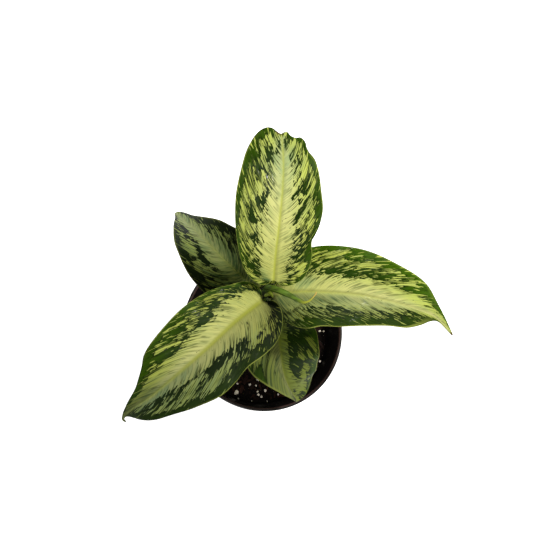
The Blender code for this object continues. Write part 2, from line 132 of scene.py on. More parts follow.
def smooth_path(points, count, steps=24):
    """Points evenly spread along a centripetal Catmull-Rom curve, and the curve's length."""
    knots = np.asarray(points, float)
    knots = np.vstack([2 * knots[0] - knots[1], knots, 2 * knots[-1] - knots[-2]])
    fine = []
    for p0, p1, p2, p3 in zip(knots, knots[1:], knots[2:], knots[3:]):
        t1 = np.linalg.norm(p1 - p0) ** 0.5
        t2 = t1 + np.linalg.norm(p2 - p1) ** 0.5
        t3 = t2 + np.linalg.norm(p3 - p2) ** 0.5
        for t in np.linspace(t1, t2, steps, endpoint=False):
            a1 = ((t1 - t) * p0 + t * p1) / t1
            a2 = ((t2 - t) * p1 + (t - t1) * p2) / (t2 - t1)
            a3 = ((t3 - t) * p2 + (t - t2) * p3) / (t3 - t2)
            b1 = ((t2 - t) * a1 + t * a2) / t2
            b2 = ((t3 - t) * a2 + (t - t1) * a3) / (t3 - t1)
            fine.append(((t2 - t) * b1 + (t - t1) * b2) / (t2 - t1))
    fine.append(knots[-2])
    fine = np.array(fine)
    reach = np.append(0, np.cumsum(np.linalg.norm(np.diff(fine, axis=0), axis=1)))
    even = np.linspace(0, reach[-1], count)
    return sample(even, reach, fine), reach[-1]


def tangents(path):
    return unit(np.gradient(path, axis=0))


def soften(values, width):
    """Rounds off the corners of a list of evenly spread values."""
    padded = np.concatenate([np.full(width, values[0]), values, np.full(width, values[-1])])
    kernel = np.hanning(2 * width + 3)[1:-1]
    return np.convolve(padded, kernel / kernel.sum(), "valid")


def rough(point, size, offset=0.0):
    """Smooth noise of -1 to 1 at a point in millimetres, with lumps of the given size."""
    return noise.noise(Vector(point) / size + Vector((offset, 0, 0)))


# Mesh pieces


def facing_out(points, faces):
    """The faces, turned so that the closed surface faces outwards."""
    volume = 0.0
    for face in faces:
        for second, third in zip(face[1:], face[2:]):
            volume += np.dot(points[face[0]], np.cross(points[second], points[third]))
    return faces if volume > 0 else [face[::-1] for face in faces]


def linked(name, data):
    """A new object of the scene."""
    obj = bpy.data.objects.new(name, data)
    bpy.context.scene.collection.objects.link(obj)
    return obj


def add_piece(name, points, faces, finishes, node, picks=None, fields=None, smooth=True):
    """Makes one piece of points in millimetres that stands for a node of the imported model."""
    mesh = bpy.data.meshes.new(name)
    mesh.from_pydata((np.asarray(points) * MM).tolist(), [], faces)
    for finish in finishes:
        mesh.materials.append(finish)
    if picks is not None:
        mesh.polygons.foreach_set("material_index", picks)
    for title, values in (fields or {}).items():
        field = mesh.attributes.new(title, "FLOAT_VECTOR", "POINT")
        field.data.foreach_set("vector", np.asarray(values, np.float32).ravel())
    if smooth:
        mesh.shade_smooth()
    obj = linked(name, mesh)
    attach(obj, "root")
    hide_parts(node)


def object_of(name, bm):
    """A new object of the scene made of a bmesh, which is freed."""
    mesh = bpy.data.meshes.new(name)
    bm.to_mesh(mesh)
    bm.free()
    return linked(name, mesh)


def skin(rings, end_point=None):
    """Points and faces of closed rings, with flat ends or a last end at a point."""
    rings = np.asarray(rings)
    rows, count = rings.shape[:2]
    points = rings.reshape(-1, 3)
    faces = []
    for row in range(rows - 1):
        first = row * count
        second = first + count
        for i in range(count):
            k = (i + 1) % count
            faces.append((first + i, first + k, second + k, second + i))
    starts = [0] if end_point is not None else [0, (rows - 1) * count]
    for start in starts:
        for i in range(count // 2 - 1):
            k = count - 1 - i
            cap = (start + i, start + i + 1, start + k - 1, start + k)
            faces.append(cap[::-1] if start == 0 else cap)
    if end_point is not None:
        points = np.vstack([points, end_point])
        last = (rows - 1) * count
        for i in range(count):
            faces.append((last + i, last + (i + 1) % count, rows * count))
    return points, faces


# Shaders


class Wire:
    """A socket of a material on which arithmetic adds Math nodes."""

    def __init__(self, finish, socket):
        self.finish = finish
        self.socket = socket

    def __add__(self, other):
        return self.finish.math("ADD", self, other)

    def __radd__(self, other):
        return self.finish.math("ADD", other, self)

    def __sub__(self, other):
        return self.finish.math("SUBTRACT", self, other)

    def __rsub__(self, other):
        return self.finish.math("SUBTRACT", other, self)

    def __mul__(self, other):
        return self.finish.math("MULTIPLY", self, other)

    def __rmul__(self, other):
        return self.finish.math("MULTIPLY", other, self)


class Finish:
    """Builds one procedural material."""

    def __init__(self, name):
        self.material = bpy.data.materials.new(name)
        self.material.use_nodes = True
        self.tree = self.material.node_tree
        self.tree.nodes.clear()

    def node(self, kind, settings=None, inputs=None):
        """Adds a node: its settings first, then the values or links of its sockets."""
        made = self.tree.nodes.new(kind)
        for key, value in (settings or {}).items():
            setattr(made, key, value)
        for key, value in (inputs or {}).items():
            if isinstance(value, Wire):
                self.tree.links.new(value.socket, made.inputs[key])
            else:
                made.inputs[key].default_value = value
        return made

    def wire(self, kind, settings=None, inputs=None, output=0):
        """Adds a node and gives one of its outputs."""
        return Wire(self, self.node(kind, settings, inputs).outputs[output])

    def math(self, operation, first, second=0.0):
        return self.wire("ShaderNodeMath", {"operation": operation}, {0: first, 1: second})

    def smooth(self, value, low, high):
        """0 below low and 1 above high, with a smooth step between them."""
        return self.wire(
            "ShaderNodeMapRange", {"interpolation_type": "SMOOTHSTEP"},
            {"Value": value, "From Min": low, "From Max": high},
        )

    def clamp(self, value):
        return self.wire("ShaderNodeClamp", None, {"Value": value})

    def vector(self, x, y, z=0.0):
        return self.wire("ShaderNodeCombineXYZ", None, {0: x, 1: y, 2: z})

    def parts(self, vector):
        made = self.node("ShaderNodeSeparateXYZ", None, {0: vector})
        return [Wire(self, output) for output in made.outputs]

    def field(self, title):
        """The three numbers of a mesh attribute."""
        made = self.wire("ShaderNodeAttribute", {"attribute_name": title}, output="Vector")
        return self.parts(made)

    def place(self):
        """The point of the piece that is shaded, in millimetres."""
        return self.times(self.wire("ShaderNodeTexCoord", output="Object"), 1 / MM)

    def noise(self, vector, scale, detail, roughness):
        return self.wire(
            "ShaderNodeTexNoise", {"noise_dimensions": "3D"},
            {"Vector": vector, "Scale": scale, "Detail": detail, "Roughness": roughness},
        )

    def cells(self, vector, scale):
        """Distance to the nearest of many strewn points."""
        return self.wire(
            "ShaderNodeTexVoronoi", {"feature": "F1"}, {"Vector": vector, "Scale": scale}
        )

    def mix(self, factor, first, second):
        """A colour between two colours, which are wires or three numbers each."""
        colours = [c if isinstance(c, Wire) else (*c, 1.0) for c in (first, second)]
        return self.wire(
            "ShaderNodeMix", {"data_type": "RGBA"}, {0: factor, 6: colours[0], 7: colours[1]}, 2
        )

    def times(self, vector, factor):
        """A colour or a point times a number."""
        return self.wire(
            "ShaderNodeVectorMath", {"operation": "SCALE"}, {0: vector, "Scale": factor}
        )

    def bump(self, height, strength):
        """Relief from a height in millimetres."""
        inputs = {"Height": height, "Distance": MM, "Strength": strength}
        return self.wire("ShaderNodeBump", None, inputs)

    def finish(self, inputs):
        """Ends the material in a Principled shader with these socket values, and gives it."""
        shader = self.wire("ShaderNodeBsdfPrincipled", None, inputs)
        self.node("ShaderNodeOutputMaterial", None, {0: shader})
        return self.material


# Settings that a user would change


class PotSettings(bpy.types.PropertyGroup):
    height: length_property("Height", "Height of the pot", 0.091)
    rim_radius: length_property("Rim radius", "Outer radius of the rim", 0.057)
    base_radius: length_property("Base radius", "Outer radius at the base", 0.040)
    wall: length_property("Wall", "Thickness of the wall", 0.0012)
    plastic: colour_property("Plastic", "Colour of the moulded plastic", tone(13, 12, 13))
    # The scuff colour also paints the pale highlight on the pot's lip
    scuff: colour_property("Scuffs", "Colour of the scuffed and dusty plastic", tone(80, 60, 57))


class SoilSettings(bpy.types.PropertyGroup):
    top: length_property("Top", "Height of the soil's top above the pot's base", 0.071)
    chips: count_property("Bark chips", "Number of bark chips", 420)
    perlite: count_property("Perlite", "Number of strewn perlite grains", 48)
    peat: colour_property("Peat", "Colour of the peat", tone(17, 11, 10))
    bark: colour_property("Bark", "Colour of the bark chips", tone(50, 27, 20))
    grain: colour_property("Grain", "Colour of the perlite grains", tone(250, 240, 226))


class StemSettings(bpy.types.PropertyGroup):
    cane: colour_property("Cane", "Colour of the cane", tone(84, 104, 52))
    scar: colour_property("Scars", "Colour of the leaf scars", tone(120, 104, 66))
    new_leaf: colour_property("New leaf", "Colour of the rolled new leaf", tone(86, 116, 28))
    new_lime: colour_property("New lime", "Lime part before its tip", tone(152, 156, 50))
    new_tip: colour_property("New tip", "Colour of the rolled leaf's tip", tone(196, 170, 92))


class LeafSettings(bpy.types.PropertyGroup):
    body: length_property("Blade", "Thickness of the blade away from its ribs", 0.00050)
    margin: length_property("Margin", "Thickness of the blade at its margin", 0.00026)
    vein_pairs: count_property("Vein pairs", "Side veins on each half of a blade", 21, 4)
    vein_relief: length_property("Vein relief", "Height of the pleats between veins", 0.00010)
    cream: colour_property("Cream", "Pale parts near the midrib", tone(205, 207, 134))
    cream_outer: colour_property("Outer cream", "Pale parts near the margin", tone(182, 194, 90))
    grey: colour_property("Grey green", "Soft shade in the pale parts", tone(148, 164, 98))
    green: colour_property("Dark green", "Dark parts near the pale ones", tone(26, 47, 1))
    green_outer: colour_property("Outer green", "Dark parts near the margin", tone(54, 83, 4))
    # Colour of the grey-green painted shade and painted sheen over the cream
    painted_shade: colour_property("Veil", "Soft grey-green clouds", tone(84, 112, 66))
    # Colour of the painted sheen: the pale grey-green of a cool reflection
    painted_sheen: colour_property("Mist", "Pale grey-green bloom near the tips", tone(146, 172, 124))
    midrib: colour_property("Midrib", "Lime band along the midrib", tone(163, 170, 56))
    lime: colour_property("Lime", "Pale parts of the leaves in the shade", tone(152, 172, 58))
    stalk: colour_property("Stalk", "Colour of the leaf stalks", tone(118, 146, 74))
    dead: colour_property("Dead tissue", "Dry brown spots at the tips", tone(70, 46, 24))


class StageSettings(bpy.types.PropertyGroup):
    floor: colour_property("Floor", "Colour of the floor", tone(250, 250, 250))
    key: strength_property("Key", "Strength of the key light", 0.95)
    side: strength_property("Side", "Strength of the side light", 0.36)
    fill: strength_property("Fill", "Strength of the room's light", 0.22)


class PlantSettings(bpy.types.PropertyGroup):
    pot: group_property(PotSettings, "Pot", "The pot's sizes and colours")
    soil: group_property(SoilSettings, "Soil", "The soil's sizes and colours")
    stem: group_property(StemSettings, "Stem", "The stem's colours")
    leaf: group_property(LeafSettings, "Leaves", "The leaves' sizes and colours")
    stage: group_property(StageSettings, "Stage", "Floor and lights")


def settings():
    return bpy.context.scene.potted_dieffenbachia


# Pot

FLOOR = 1.6
LIP = 1.1
# Steps in and down, from the lip's inner side, of the slope under it
LIP_INSIDE = ((0.25, 0.7), (0.9, 2.5))
# How far the band keeps below the rim, in lips
BAND_ROOM = 2.2
BAND_HEIGHT = 11.0
BAND_STEP = 1.6
BAND_CHAMFER = 0.8
# Steps out from the wall, and heights about the band's foot, of the fillet under the band
BAND_FILLET = ((0.02, -0.5), (0.2, -0.1), (1.1, 0.35))
BAND_EDGE = ((-0.12, -0.1), (0.0, 0.2))
# Steps out and up, from where the inner wall meets the band's foot, to its bend
BAND_BEND = (0.15, 1.2)
BASE_CORNER = 3.0
INNER_CORNER = 0.9
FOOT_RING = 6
# Rows of points up the wall and the band, and down the wall's inside, as shares of their height
WALL_ROWS = np.linspace(0.08, 0.97, 14)
BAND_ROWS = (0.2, 0.4, 0.6, 0.8)
INSIDE_ROWS = np.linspace(0.9, 0.1, 8)
DRAIN_HOLES = 6
DRAIN_RADIUS = 4.5
DRAIN_CIRCLE = 28.0
DRAIN_SIDES = 48
POT_SIDES = 180
SHARP_ANGLE = 35


def arc(centre, radius, start, end, steps):
    angles = np.radians(np.linspace(start, end, steps))
    return [(centre[0] + radius * math.cos(a), centre[1] + radius * math.sin(a)) for a in angles]


def wall_outside(height):
    """Radius of the pot's outer wall below its rim band."""
    pot = settings().pot
    top = pot.rim_radius / MM - LIP - BAND_STEP
    base = pot.base_radius / MM
    return base + (top - base) * height / (pot.height / MM)


def wall_inside(height):
    return wall_outside(height) - settings().pot.wall / MM


def pot_profile():
    """(radius, height) pairs from the middle of the underside round to the middle of the inside."""
    pot = settings().pot
    height, rim, base = (value / MM for value in (pot.height, pot.rim_radius, pot.base_radius))
    band_foot = height - BAND_HEIGHT
    chamfer = band_foot + BAND_CHAMFER
    band_radius = wall_outside(chamfer) + BAND_STEP
    lip_centre = (rim - LIP, height - LIP)
    profile = [(0, 0), (base - BASE_CORNER - FOOT_RING, 0)]
    profile += arc((base - BASE_CORNER, BASE_CORNER), BASE_CORNER, -90, -8, 10)
    for share in WALL_ROWS:
        profile.append((wall_outside(band_foot * share), band_foot * share))
    profile += [(wall_outside(band_foot) + out, band_foot + rise) for out, rise in BAND_FILLET]
    profile += [(band_radius + out, chamfer + rise) for out, rise in BAND_EDGE]
    for share in BAND_ROWS:
        z = chamfer + (height - BAND_ROOM * LIP - chamfer) * share
        profile.append((wall_outside(z) + BAND_STEP, z))
    profile += arc(lip_centre, LIP, -20, 180, 18)
    profile += [(lip_centre[0] - LIP - step, lip_centre[1] - drop) for step, drop in LIP_INSIDE]
    inside = wall_inside(band_foot)
    profile += [(inside + BAND_BEND[0], band_foot + BAND_BEND[1]), (inside, band_foot)]
    for share in INSIDE_ROWS:
        profile.append((wall_inside(band_foot * share), band_foot * share))
    profile += [
        (wall_inside(FLOOR + BASE_CORNER), FLOOR + BASE_CORNER),
        (wall_inside(FLOOR) - INNER_CORNER, FLOOR + INNER_CORNER),
        (wall_inside(FLOOR) - BASE_CORNER, FLOOR),
        (0, FLOOR),
    ]
    return profile


def pot_plastic():
    """Satin black moulded plastic with fine grain, scuffs, a little soil dust on its rim and a
    painted highlight on its lip.
    """
    pot = settings().pot
    made = Finish("pot_plastic_satin")
    place = made.place()
    x, y, z = made.parts(place)
    grain = made.noise(place, 3.2, 3.0, 0.6)
    cloud = made.noise(place, 0.09, 3.0, 0.6)
    flow = made.noise(made.vector(x * 0.5, y * 0.5, z * 0.04), 1.0, 3.0, 0.55)
    rim = made.smooth(z, pot.height / MM - 3.5, pot.height / MM - 0.5)
    dust = made.smooth(made.noise(place, 0.6, 4.0, 0.7) + cloud * 0.5, 0.72, 0.98)
    scuff = made.smooth(made.noise(made.vector(x, y, z * 0.15), 0.8, 4.0, 0.7), 0.62, 0.78)
    # Painted highlight: the lip is pale on its inner side, a little in from the rim's edge
    inset = pot.rim_radius / MM - made.math("SQRT", x * x + y * y)
    lip_highlight = made.smooth(inset, 2.7, 2.2) * made.smooth(inset, 1.2, 1.7)
    rim_wear_and_highlight = rim * (lip_highlight * (0.35 + grain * 0.7) + grain * 0.06)
    wear_and_highlight = made.clamp(dust * 0.14 + scuff * 0.09 + rim_wear_and_highlight)
    colour = made.mix(wear_and_highlight, pot.plastic, pot.scuff)
    roughness = 0.30 + grain * 0.14 + dust * 0.25 + scuff * 0.10 + cloud * 0.08
    return made.finish({
        "Base Color": colour,
        "Roughness": made.clamp(roughness),
        "IOR": 1.49,
        "Specular IOR Level": 0.2,
        "Normal": made.bump(grain * 0.035 + flow * 0.10, 0.8),
    })


def spun(profile, sides):
    """A bmesh in metres of the profile spun round the axis, on which its first and last lie."""
    bm = bmesh.new()
    verts = [bm.verts.new((radius * MM, 0, height * MM)) for radius, height in profile]
    edges = [bm.edges.new(pair) for pair in zip(verts, verts[1:])]
    bmesh.ops.spin(
        bm, geom=verts + edges, cent=(0, 0, 0), axis=(0, 0, 1),
        angle=2 * math.pi, steps=sides, use_merge=True,
    )
    bmesh.ops.remove_doubles(bm, verts=bm.verts, dist=1e-6)
    bmesh.ops.recalc_face_normals(bm, faces=bm.faces)
    return bm


def drain_cutter():
    """All drain holes as one mesh of rods through the pot's floor."""
    bm = bmesh.new()
    for k in range(DRAIN_HOLES):
        side = DRAIN_CIRCLE * heading(360 / DRAIN_HOLES * (k + 0.5)) * MM
        bmesh.ops.create_cone(
            bm, cap_ends=True, segments=DRAIN_SIDES, radius1=DRAIN_RADIUS * MM,
            radius2=DRAIN_RADIUS * MM, depth=4 * FLOOR * MM, matrix=Matrix.Translation(side),
        )
    return object_of("drain_cutter", bm)


class PLANT_OT_pot(bpy.types.Operator):
    """Make the nursery pot with its rolled rim and drain holes"""

    bl_idname = "dieffenbachia.pot"
    bl_label = "Pot"

    def execute(self, context):
        pot = object_of("nursery_pot", spun(pot_profile(), POT_SIDES))
        pot.data.materials.append(pot_plastic())
        cutter = drain_cutter()
        modifier = pot.modifiers.new("drain_holes", "BOOLEAN")
        modifier.operation = "DIFFERENCE"
        modifier.solver = "EXACT"
        modifier.object = cutter
        context.view_layer.objects.active = pot
        bpy.ops.object.modifier_apply(modifier=modifier.name)
        bpy.data.objects.remove(cutter, do_unlink=True)
        pot.data.shade_smooth()
        pot.data.set_sharp_from_angle(angle=math.radians(SHARP_ANGLE))
        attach(pot, "root")
        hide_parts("pot")
        return {"FINISHED"}


# Soil

SOIL_CLEARANCE = 0.65
HOLE_CLEARANCE = 0.6
SOIL_RINGS = 130
SOIL_SIDES = 260
SOIL_WALL_RINGS = 14
HOLE_RINGS = 6
# How far below the soil's top its wall and its hole for the cane start
WALL_START = 2.5
HOLE_START = 1.5
MOUND_HEIGHT = 1.6
MOUND_RADIUS = 20.5
# Height and size of the humps, lumps and crumbs of the soil's top
HUMPS = (1.3, 18.0)
LUMPS = (0.8, 4.3)
CRUMBS = ((0.55, 2.1), (0.32, 1.0))
CHIP_SEED = 11
CHIP_LENGTH = (1.3, 4.2)
CHIP_SHORTENING = (0.4, 1.0)
# Below 1 it makes a chip blockier than a ball
CHIP_POWER = 0.6
# Strength and size of the lumps on a chip, and what sets the chips apart in their noise
CHIP_LUMPS = (0.35, 0.8)
CHIP_STEP = 5.1
# Width and thickness of a chip as shares of its length, and how high it lies on the soil
CHIP_WIDTH = (0.3, 0.6)
CHIP_THICKNESS = (0.13, 0.3)
CHIP_LIE = (-0.1, 0.55)
CHIP_TILT = 0.35
GRAIN_SEED = 23
GRAIN_RADIUS = (0.45, 1.35)
GRAIN_SHORTENING = (0.6, 1.0)
GRAIN_STRETCH = (0.8, 1.15)
# Strength of the lumps on a grain, sizes of the coarse and the fine ones, and their step
GRAIN_LUMPS = 0.38
GRAIN_LUMP_SIZES = (0.75, 0.35)
GRAIN_STEP = 3.3
# How high a grain lies on the soil, and how much of its radius comes on top
GRAIN_LIE = (0.3, 0.35)
# How far chips and grains stay from the wall and from the cane
STREWN_CLEARANCE = (1.6, 2.5)

# Perlite grains that the photo shows beside the leaves: x, y and radius. The last ones are stained.
SEEN_GRAINS = (
    (-16.2, -42.4, 1.75), (-0.3, -43.6, 0.9), (-1.1, -41.4, 0.8), (1.8, -45.0, 0.85),
    (4.7, -40.6, 0.9), (-6.8, -36.6, 0.8), (14.0, -43.3, 0.7), (-15.5, -36.0, 0.8),
    (-2.1, -37.2, 0.6), (44.5, 3.1, 0.85), (47.5, 3.2, 0.7), (44.6, -18.9, 0.8),
    (5.9, -48.2, 0.5), (-5.3, -48.3, 0.5), (-14.7, -46.7, 0.55),
)
CLEAN_GRAINS = 11
# The cleanest shade of the stained ones, of 1
STAINED_SHADE = 0.8


def soil_height(x, y):
    """The uneven top of the soil, a little higher round the cane."""
    mound = MOUND_HEIGHT * math.exp(-(x * x + y * y) / MOUND_RADIUS**2)
    humps = HUMPS[0] * noise.noise(Vector((x, y, 0)) / HUMPS[1])
    lumps = LUMPS[0] * noise.noise(Vector((x, y, HUMPS[1])) / LUMPS[1])
    return settings().soil.top / MM + mound + humps + lumps


def soil_surface(x, y):
    """The soil's top with its crumbs."""
    height = soil_height(x, y)
    for k, (depth, size) in enumerate(CRUMBS):
        value = noise.noise(Vector((x, y, 7.0 * k)) / size)
        height += depth * (abs(value) * 2 - 0.6 if k == 0 else value)
    return height


def soil_peat():
    """Dark peat with reddish fibres and a few pale specks."""
    soil = settings().soil
    made = Finish("soil_peat")
    place = made.place()
    crumbs = made.noise(place, 1.1, 5.0, 0.65)
    fibres = made.noise(place, 0.45, 6.0, 0.75)
    flecks = made.smooth(made.noise(place, 2.4, 2.0, 0.6), 0.64, 0.72)
    pale = made.smooth(made.noise(place, 3.3, 1.0, 0.5), 0.765, 0.79)
    dark = shaded(soil.peat, 0.35)
    colour = made.mix(made.smooth(crumbs, 0.38, 0.66), dark, soil.peat)
    colour = made.mix(flecks * made.smooth(fibres, 0.45, 0.6), colour, soil.bark)
    colour = made.mix(pale * 0.6, colour, soil.grain)
    return made.finish({
        "Base Color": colour,
        "Roughness": made.clamp(0.78 + crumbs * 0.25),
        "Specular IOR Level": 0.10,
        "Normal": made.bump(crumbs * 0.9 + fibres * 0.6, 1.0),
    })


def bark():
    """Brown fibrous bark, with each chip in its own shade."""
    soil = settings().soil
    made = Finish("soil_bark")
    place = made.place()
    shade, along, across = made.field("grain")
    fibre = made.noise(made.vector(along * 0.5, across * 4.0, shade * 90.0), 1.0, 4.0, 0.6)
    dark = shaded(soil.bark, 0.22)
    colour = made.mix(made.smooth(fibre, 0.3, 0.72), dark, soil.bark)
    colour = made.times(colour, 0.45 + shade * shade * 1.5)
    return made.finish({
        "Base Color": colour,
        "Roughness": made.clamp(0.70 + fibre * 0.25),
        "Specular IOR Level": 0.15,
        "Normal": made.bump(fibre * 0.35 + made.noise(place, 2.5, 3.0, 0.6) * 0.3, 1.0),
    })


def perlite():
    """Porous white grains with soil in their pits."""
    soil = settings().soil
    made = Finish("soil_perlite")
    place = made.place()
    pits = made.cells(place, 1.6)
    stain = made.noise(place, 0.9, 4.0, 0.65)
    shade = made.field("grain")[0]
    dirty = made.smooth(stain + (1.0 - shade) * 0.35, 0.62, 0.95)
    brown = sum_of(0.5, soil.bark, 0.08, soil.grain)
    colour = made.mix(dirty * 0.9, soil.grain, brown)
    colour = made.mix(made.smooth(pits, 0.45, 0.1) * 0.22, colour, brown)
    return made.finish({
        "Base Color": colour,
        "Roughness": 0.92,
        "Specular IOR Level": 0.3,
        "Normal": made.bump(pits * 0.4 + stain * 0.5, 0.9),
    })


def make_soil_bed():
    """The bed as columns side by side, with its uneven top and the hole for the cane."""
    top = settings().soil.top / MM
    hole = CANE_RADIUS[0] + HOLE_CLEARANCE
    hole_x, hole_y, hole_foot = CANE_AXIS[0]
    hole_foot -= GAP
    edge = wall_inside(top) - SOIL_CLEARANCE
    foot = FLOOR + GAP
    heights = np.linspace(top - WALL_START, foot + BASE_CORNER, SOIL_WALL_RINGS)
    lower = [(wall_inside(height) - SOIL_CLEARANCE, height) for height in heights]
    lower += [(wall_inside(foot) - BASE_CORNER - GAP, foot)]
    columns = []
    for k in range(SOIL_SIDES):
        side = heading(360 / SOIL_SIDES * k)
        column = [(hole_x, hole_y, hole_foot)]
        for depth in np.linspace(hole_foot, top - HOLE_START, HOLE_RINGS):
            column.append((hole_x + hole * side[0], hole_y + hole * side[1], depth))
        for ring in range(SOIL_RINGS + 1):
            share = ring / SOIL_RINGS
            radius = hole + (edge - hole) * share
            x = hole_x * (1 - share) + radius * side[0]
            y = hole_y * (1 - share) + radius * side[1]
            column.append((x, y, soil_surface(x, y)))
        column += [(radius * side[0], radius * side[1], height) for radius, height in lower]
        column.append((0, 0, foot))
        columns.append(column)
    count = len(columns[0])
    points = np.array(columns).reshape(-1, 3)
    faces = []
    for k in range(SOIL_SIDES):
        first = k * count
        second = (k + 1) % SOIL_SIDES * count
        faces.append((0, first + 1, second + 1))
        faces.append((count - 1, second + count - 2, first + count - 2))
        for i in range(1, count - 2):
            faces.append((first + i, first + i + 1, second + i + 1, second + i))
    # All columns share their first and their last point
    used = np.ones(len(points), bool)
    used[count::count] = False
    used[2 * count - 1::count] = False
    renumber = np.cumsum(used) - 1
    faces = [tuple(int(renumber[i]) for i in face) for face in faces]
    points = points[used]
    add_piece("soil_bed", points, facing_out(points, faces), [soil_peat()], "soil")


def pebble(subdivisions):
    """Points and faces of a small ball."""
    bm = bmesh.new()
    bmesh.ops.create_icosphere(bm, subdivisions=subdivisions, radius=1.0)
    points = np.array([vert.co for vert in bm.verts])
    faces = [tuple(vert.index for vert in face.verts) for face in bm.faces]
    bm.free()
    return points, faces


def turning(draw, upright):
    """A random turn, nearly flat on the soil where upright is small."""
    spin = Matrix.Rotation(draw.uniform(0, 2 * math.pi), 3, "Z")
    tilt = Matrix.Rotation(draw.normal(0, upright), 3, "X")
    return np.array(spin @ tilt)


def free_place(draw):
    """A random place on the soil, clear of the cane and the wall."""
    outer = wall_inside(settings().soil.top / MM) - SOIL_CLEARANCE - STREWN_CLEARANCE[0]
    inner = CANE_RADIUS[0] + HOLE_CLEARANCE + STREWN_CLEARANCE[1]
    while True:
        x, y = draw.uniform(-outer, outer, 2)
        from_cane = math.hypot(x - CANE_AXIS[0][0], y - CANE_AXIS[0][1])
        if from_cane > inner and math.hypot(x, y) < outer:
            return x, y


def add_strewn(name, finish, ball_faces, lumps, fields, smooth):
    """Makes one piece of many lumps, which all have the faces of one small ball."""
    count = len(lumps[0])
    faces = []
    for k in range(len(lumps)):
        faces += [tuple(k * count + i for i in face) for face in ball_faces]
    add_piece(
        name, np.vstack(lumps), faces, [finish], "soil",
        fields={"grain": np.vstack(fields)}, smooth=smooth,
    )


def make_chips():
    """Flat splintered chips of bark, pressed into the soil."""
    draw = np.random.default_rng(CHIP_SEED)
    ball, ball_faces = pebble(2)
    blocky = np.sign(ball) * np.abs(ball) ** CHIP_POWER
    strength, size = CHIP_LUMPS
    chips, fields = [], []
    for k in range(settings().soil.chips):
        x, y = free_place(draw)
        length = draw.uniform(*CHIP_LENGTH) * draw.uniform(*CHIP_SHORTENING)
        shape = length * np.array([1, draw.uniform(*CHIP_WIDTH), draw.uniform(*CHIP_THICKNESS)])
        lumps = np.array([1 + strength * rough(p, size, CHIP_STEP * k) for p in ball])
        local = blocky * lumps[:, None] * shape
        turned = local @ turning(draw, CHIP_TILT).T
        chips.append(turned + (x, y, soil_height(x, y) + draw.uniform(*CHIP_LIE)))
        fields.append(stacked(draw.uniform(0, 1), local[:, 0], local[:, 1]))
    add_strewn("bark_chips", bark(), ball_faces, chips, fields, False)


def make_perlite():
    """Lumpy white grains: those that the photo shows, and others strewn between them."""
    draw = np.random.default_rng(GRAIN_SEED)
    ball, ball_faces = pebble(3)
    places = list(SEEN_GRAINS)
    for _ in range(settings().soil.perlite):
        place = free_place(draw)
        places.append((*place, draw.uniform(*GRAIN_RADIUS) * draw.uniform(*GRAIN_SHORTENING)))
    coarse, fine = GRAIN_LUMP_SIZES
    grains, fields = [], []
    for k, (x, y, radius) in enumerate(places):
        step = GRAIN_STEP * k
        lumps = np.array([rough(p, coarse, step) + 0.5 * rough(p, fine, step) for p in ball])
        shape = radius * draw.uniform(*GRAIN_STRETCH, 3)
        turned = ball * (1 + GRAIN_LUMPS * lumps[:, None]) * shape @ turning(draw, 1.0).T
        height = soil_height(x, y) + GRAIN_LIE[0] + GRAIN_LIE[1] * radius
        grains.append(turned + (x, y, height))
        shade = 1.0 if k < CLEAN_GRAINS else draw.uniform(0, STAINED_SHADE)
        fields.append(np.full((len(ball), 3), shade))
    add_strewn("perlite_grains", perlite(), ball_faces, grains, fields, True)


class PLANT_OT_soil(bpy.types.Operator):
    """Make the bed of peat that fills the pot"""

    bl_idname = "dieffenbachia.soil"
    bl_label = "Soil bed"

    def execute(self, context):
        make_soil_bed()
        return {"FINISHED"}


class PLANT_OT_grains(bpy.types.Operator):
    """Strew bark chips and perlite grains over the soil"""

    bl_idname = "dieffenbachia.grains"
    bl_label = "Bark and perlite"

    def execute(self, context):
        make_chips()
        make_perlite()
        return {"FINISHED"}


# Cane and rolled leaf, along the growing axis

CANE_AXIS = ((-1.2, 0.6, 45), (-1.2, 0.6, 72), (-3.2, 1.9, 88), (-7, 4.3, 112), (-10.2, 6.3, 136))
CANE_RADIUS = (7.2, 4.6)
CANE_SCARS = (75.5, 80.5)
SCAR_HEIGHT = 0.5
SCAR_WIDTH = 0.9
CANE_SIDES = 72
CANE_RINGS = 150
AXIS_STEPS = 60
CANE_RIBS = 0.10
# The cane's rounded end: where it starts below the top, and (below the top, inset) of its rings
CANE_SHOULDER = 0.9
CANE_END = ((0.35, 0.12), (0.08, 0.45), (0.0, 0.9))

ROLL_AXIS = (
    (-10.4, 6.5, 137.2), (-12.8, 7.8, 155), (-15.5, 9.3, 176), (-16.7, 10.0, 190),
    (-16.0, 10.2, 199), (-13.2, 8.4, 206), (-8.0, 6.0, 208.5), (-2.6, 3.7, 207.6),
    (1.6, 1.7, 206.3), (4.9, 0.7, 205.5), (7.8, 1.4, 205), (10.2, 3.2, 205),
    (12.2, 5.7, 205.8), (13.0, 7.6, 206.5),
)
ROLL_UPRIGHT = 5
ROLL_RADII = (
    (0.0, 4.0), (0.25, 2.9), (0.55, 2.4), (0.76, 2.1), (0.86, 1.2), (0.91, 0.6), (1.0, 0.4)
)
ROLL_STEP = 0.14
ROLL_WIND = 0.32
ROLL_RINGS = 170
ROLL_SIDES = 56

BUD_AXIS = (
    (-15.6, 9.2, 184), (-15.0, 8.2, 192), (-14.3, 6.9, 197), (-13.4, 5.3, 198.6),
    (-12.9, 4.6, 197.6),
)
BUD_RADII = ((0.0, 1.9), (0.4, 1.9), (0.75, 1.35), (0.92, 0.7), (1.0, 0.25))
BUD_RINGS = 40
BUD_SIDES = 32
BUD_RIBS = 0.08
# Where the bud's foot and tip fall in the colours that run along the rolled leaf, so that its
# foot takes part of the painted shade round the crown
BUD_SHADES = (0.605, 0.705)
BUD_TIP_SHADE = 0.70
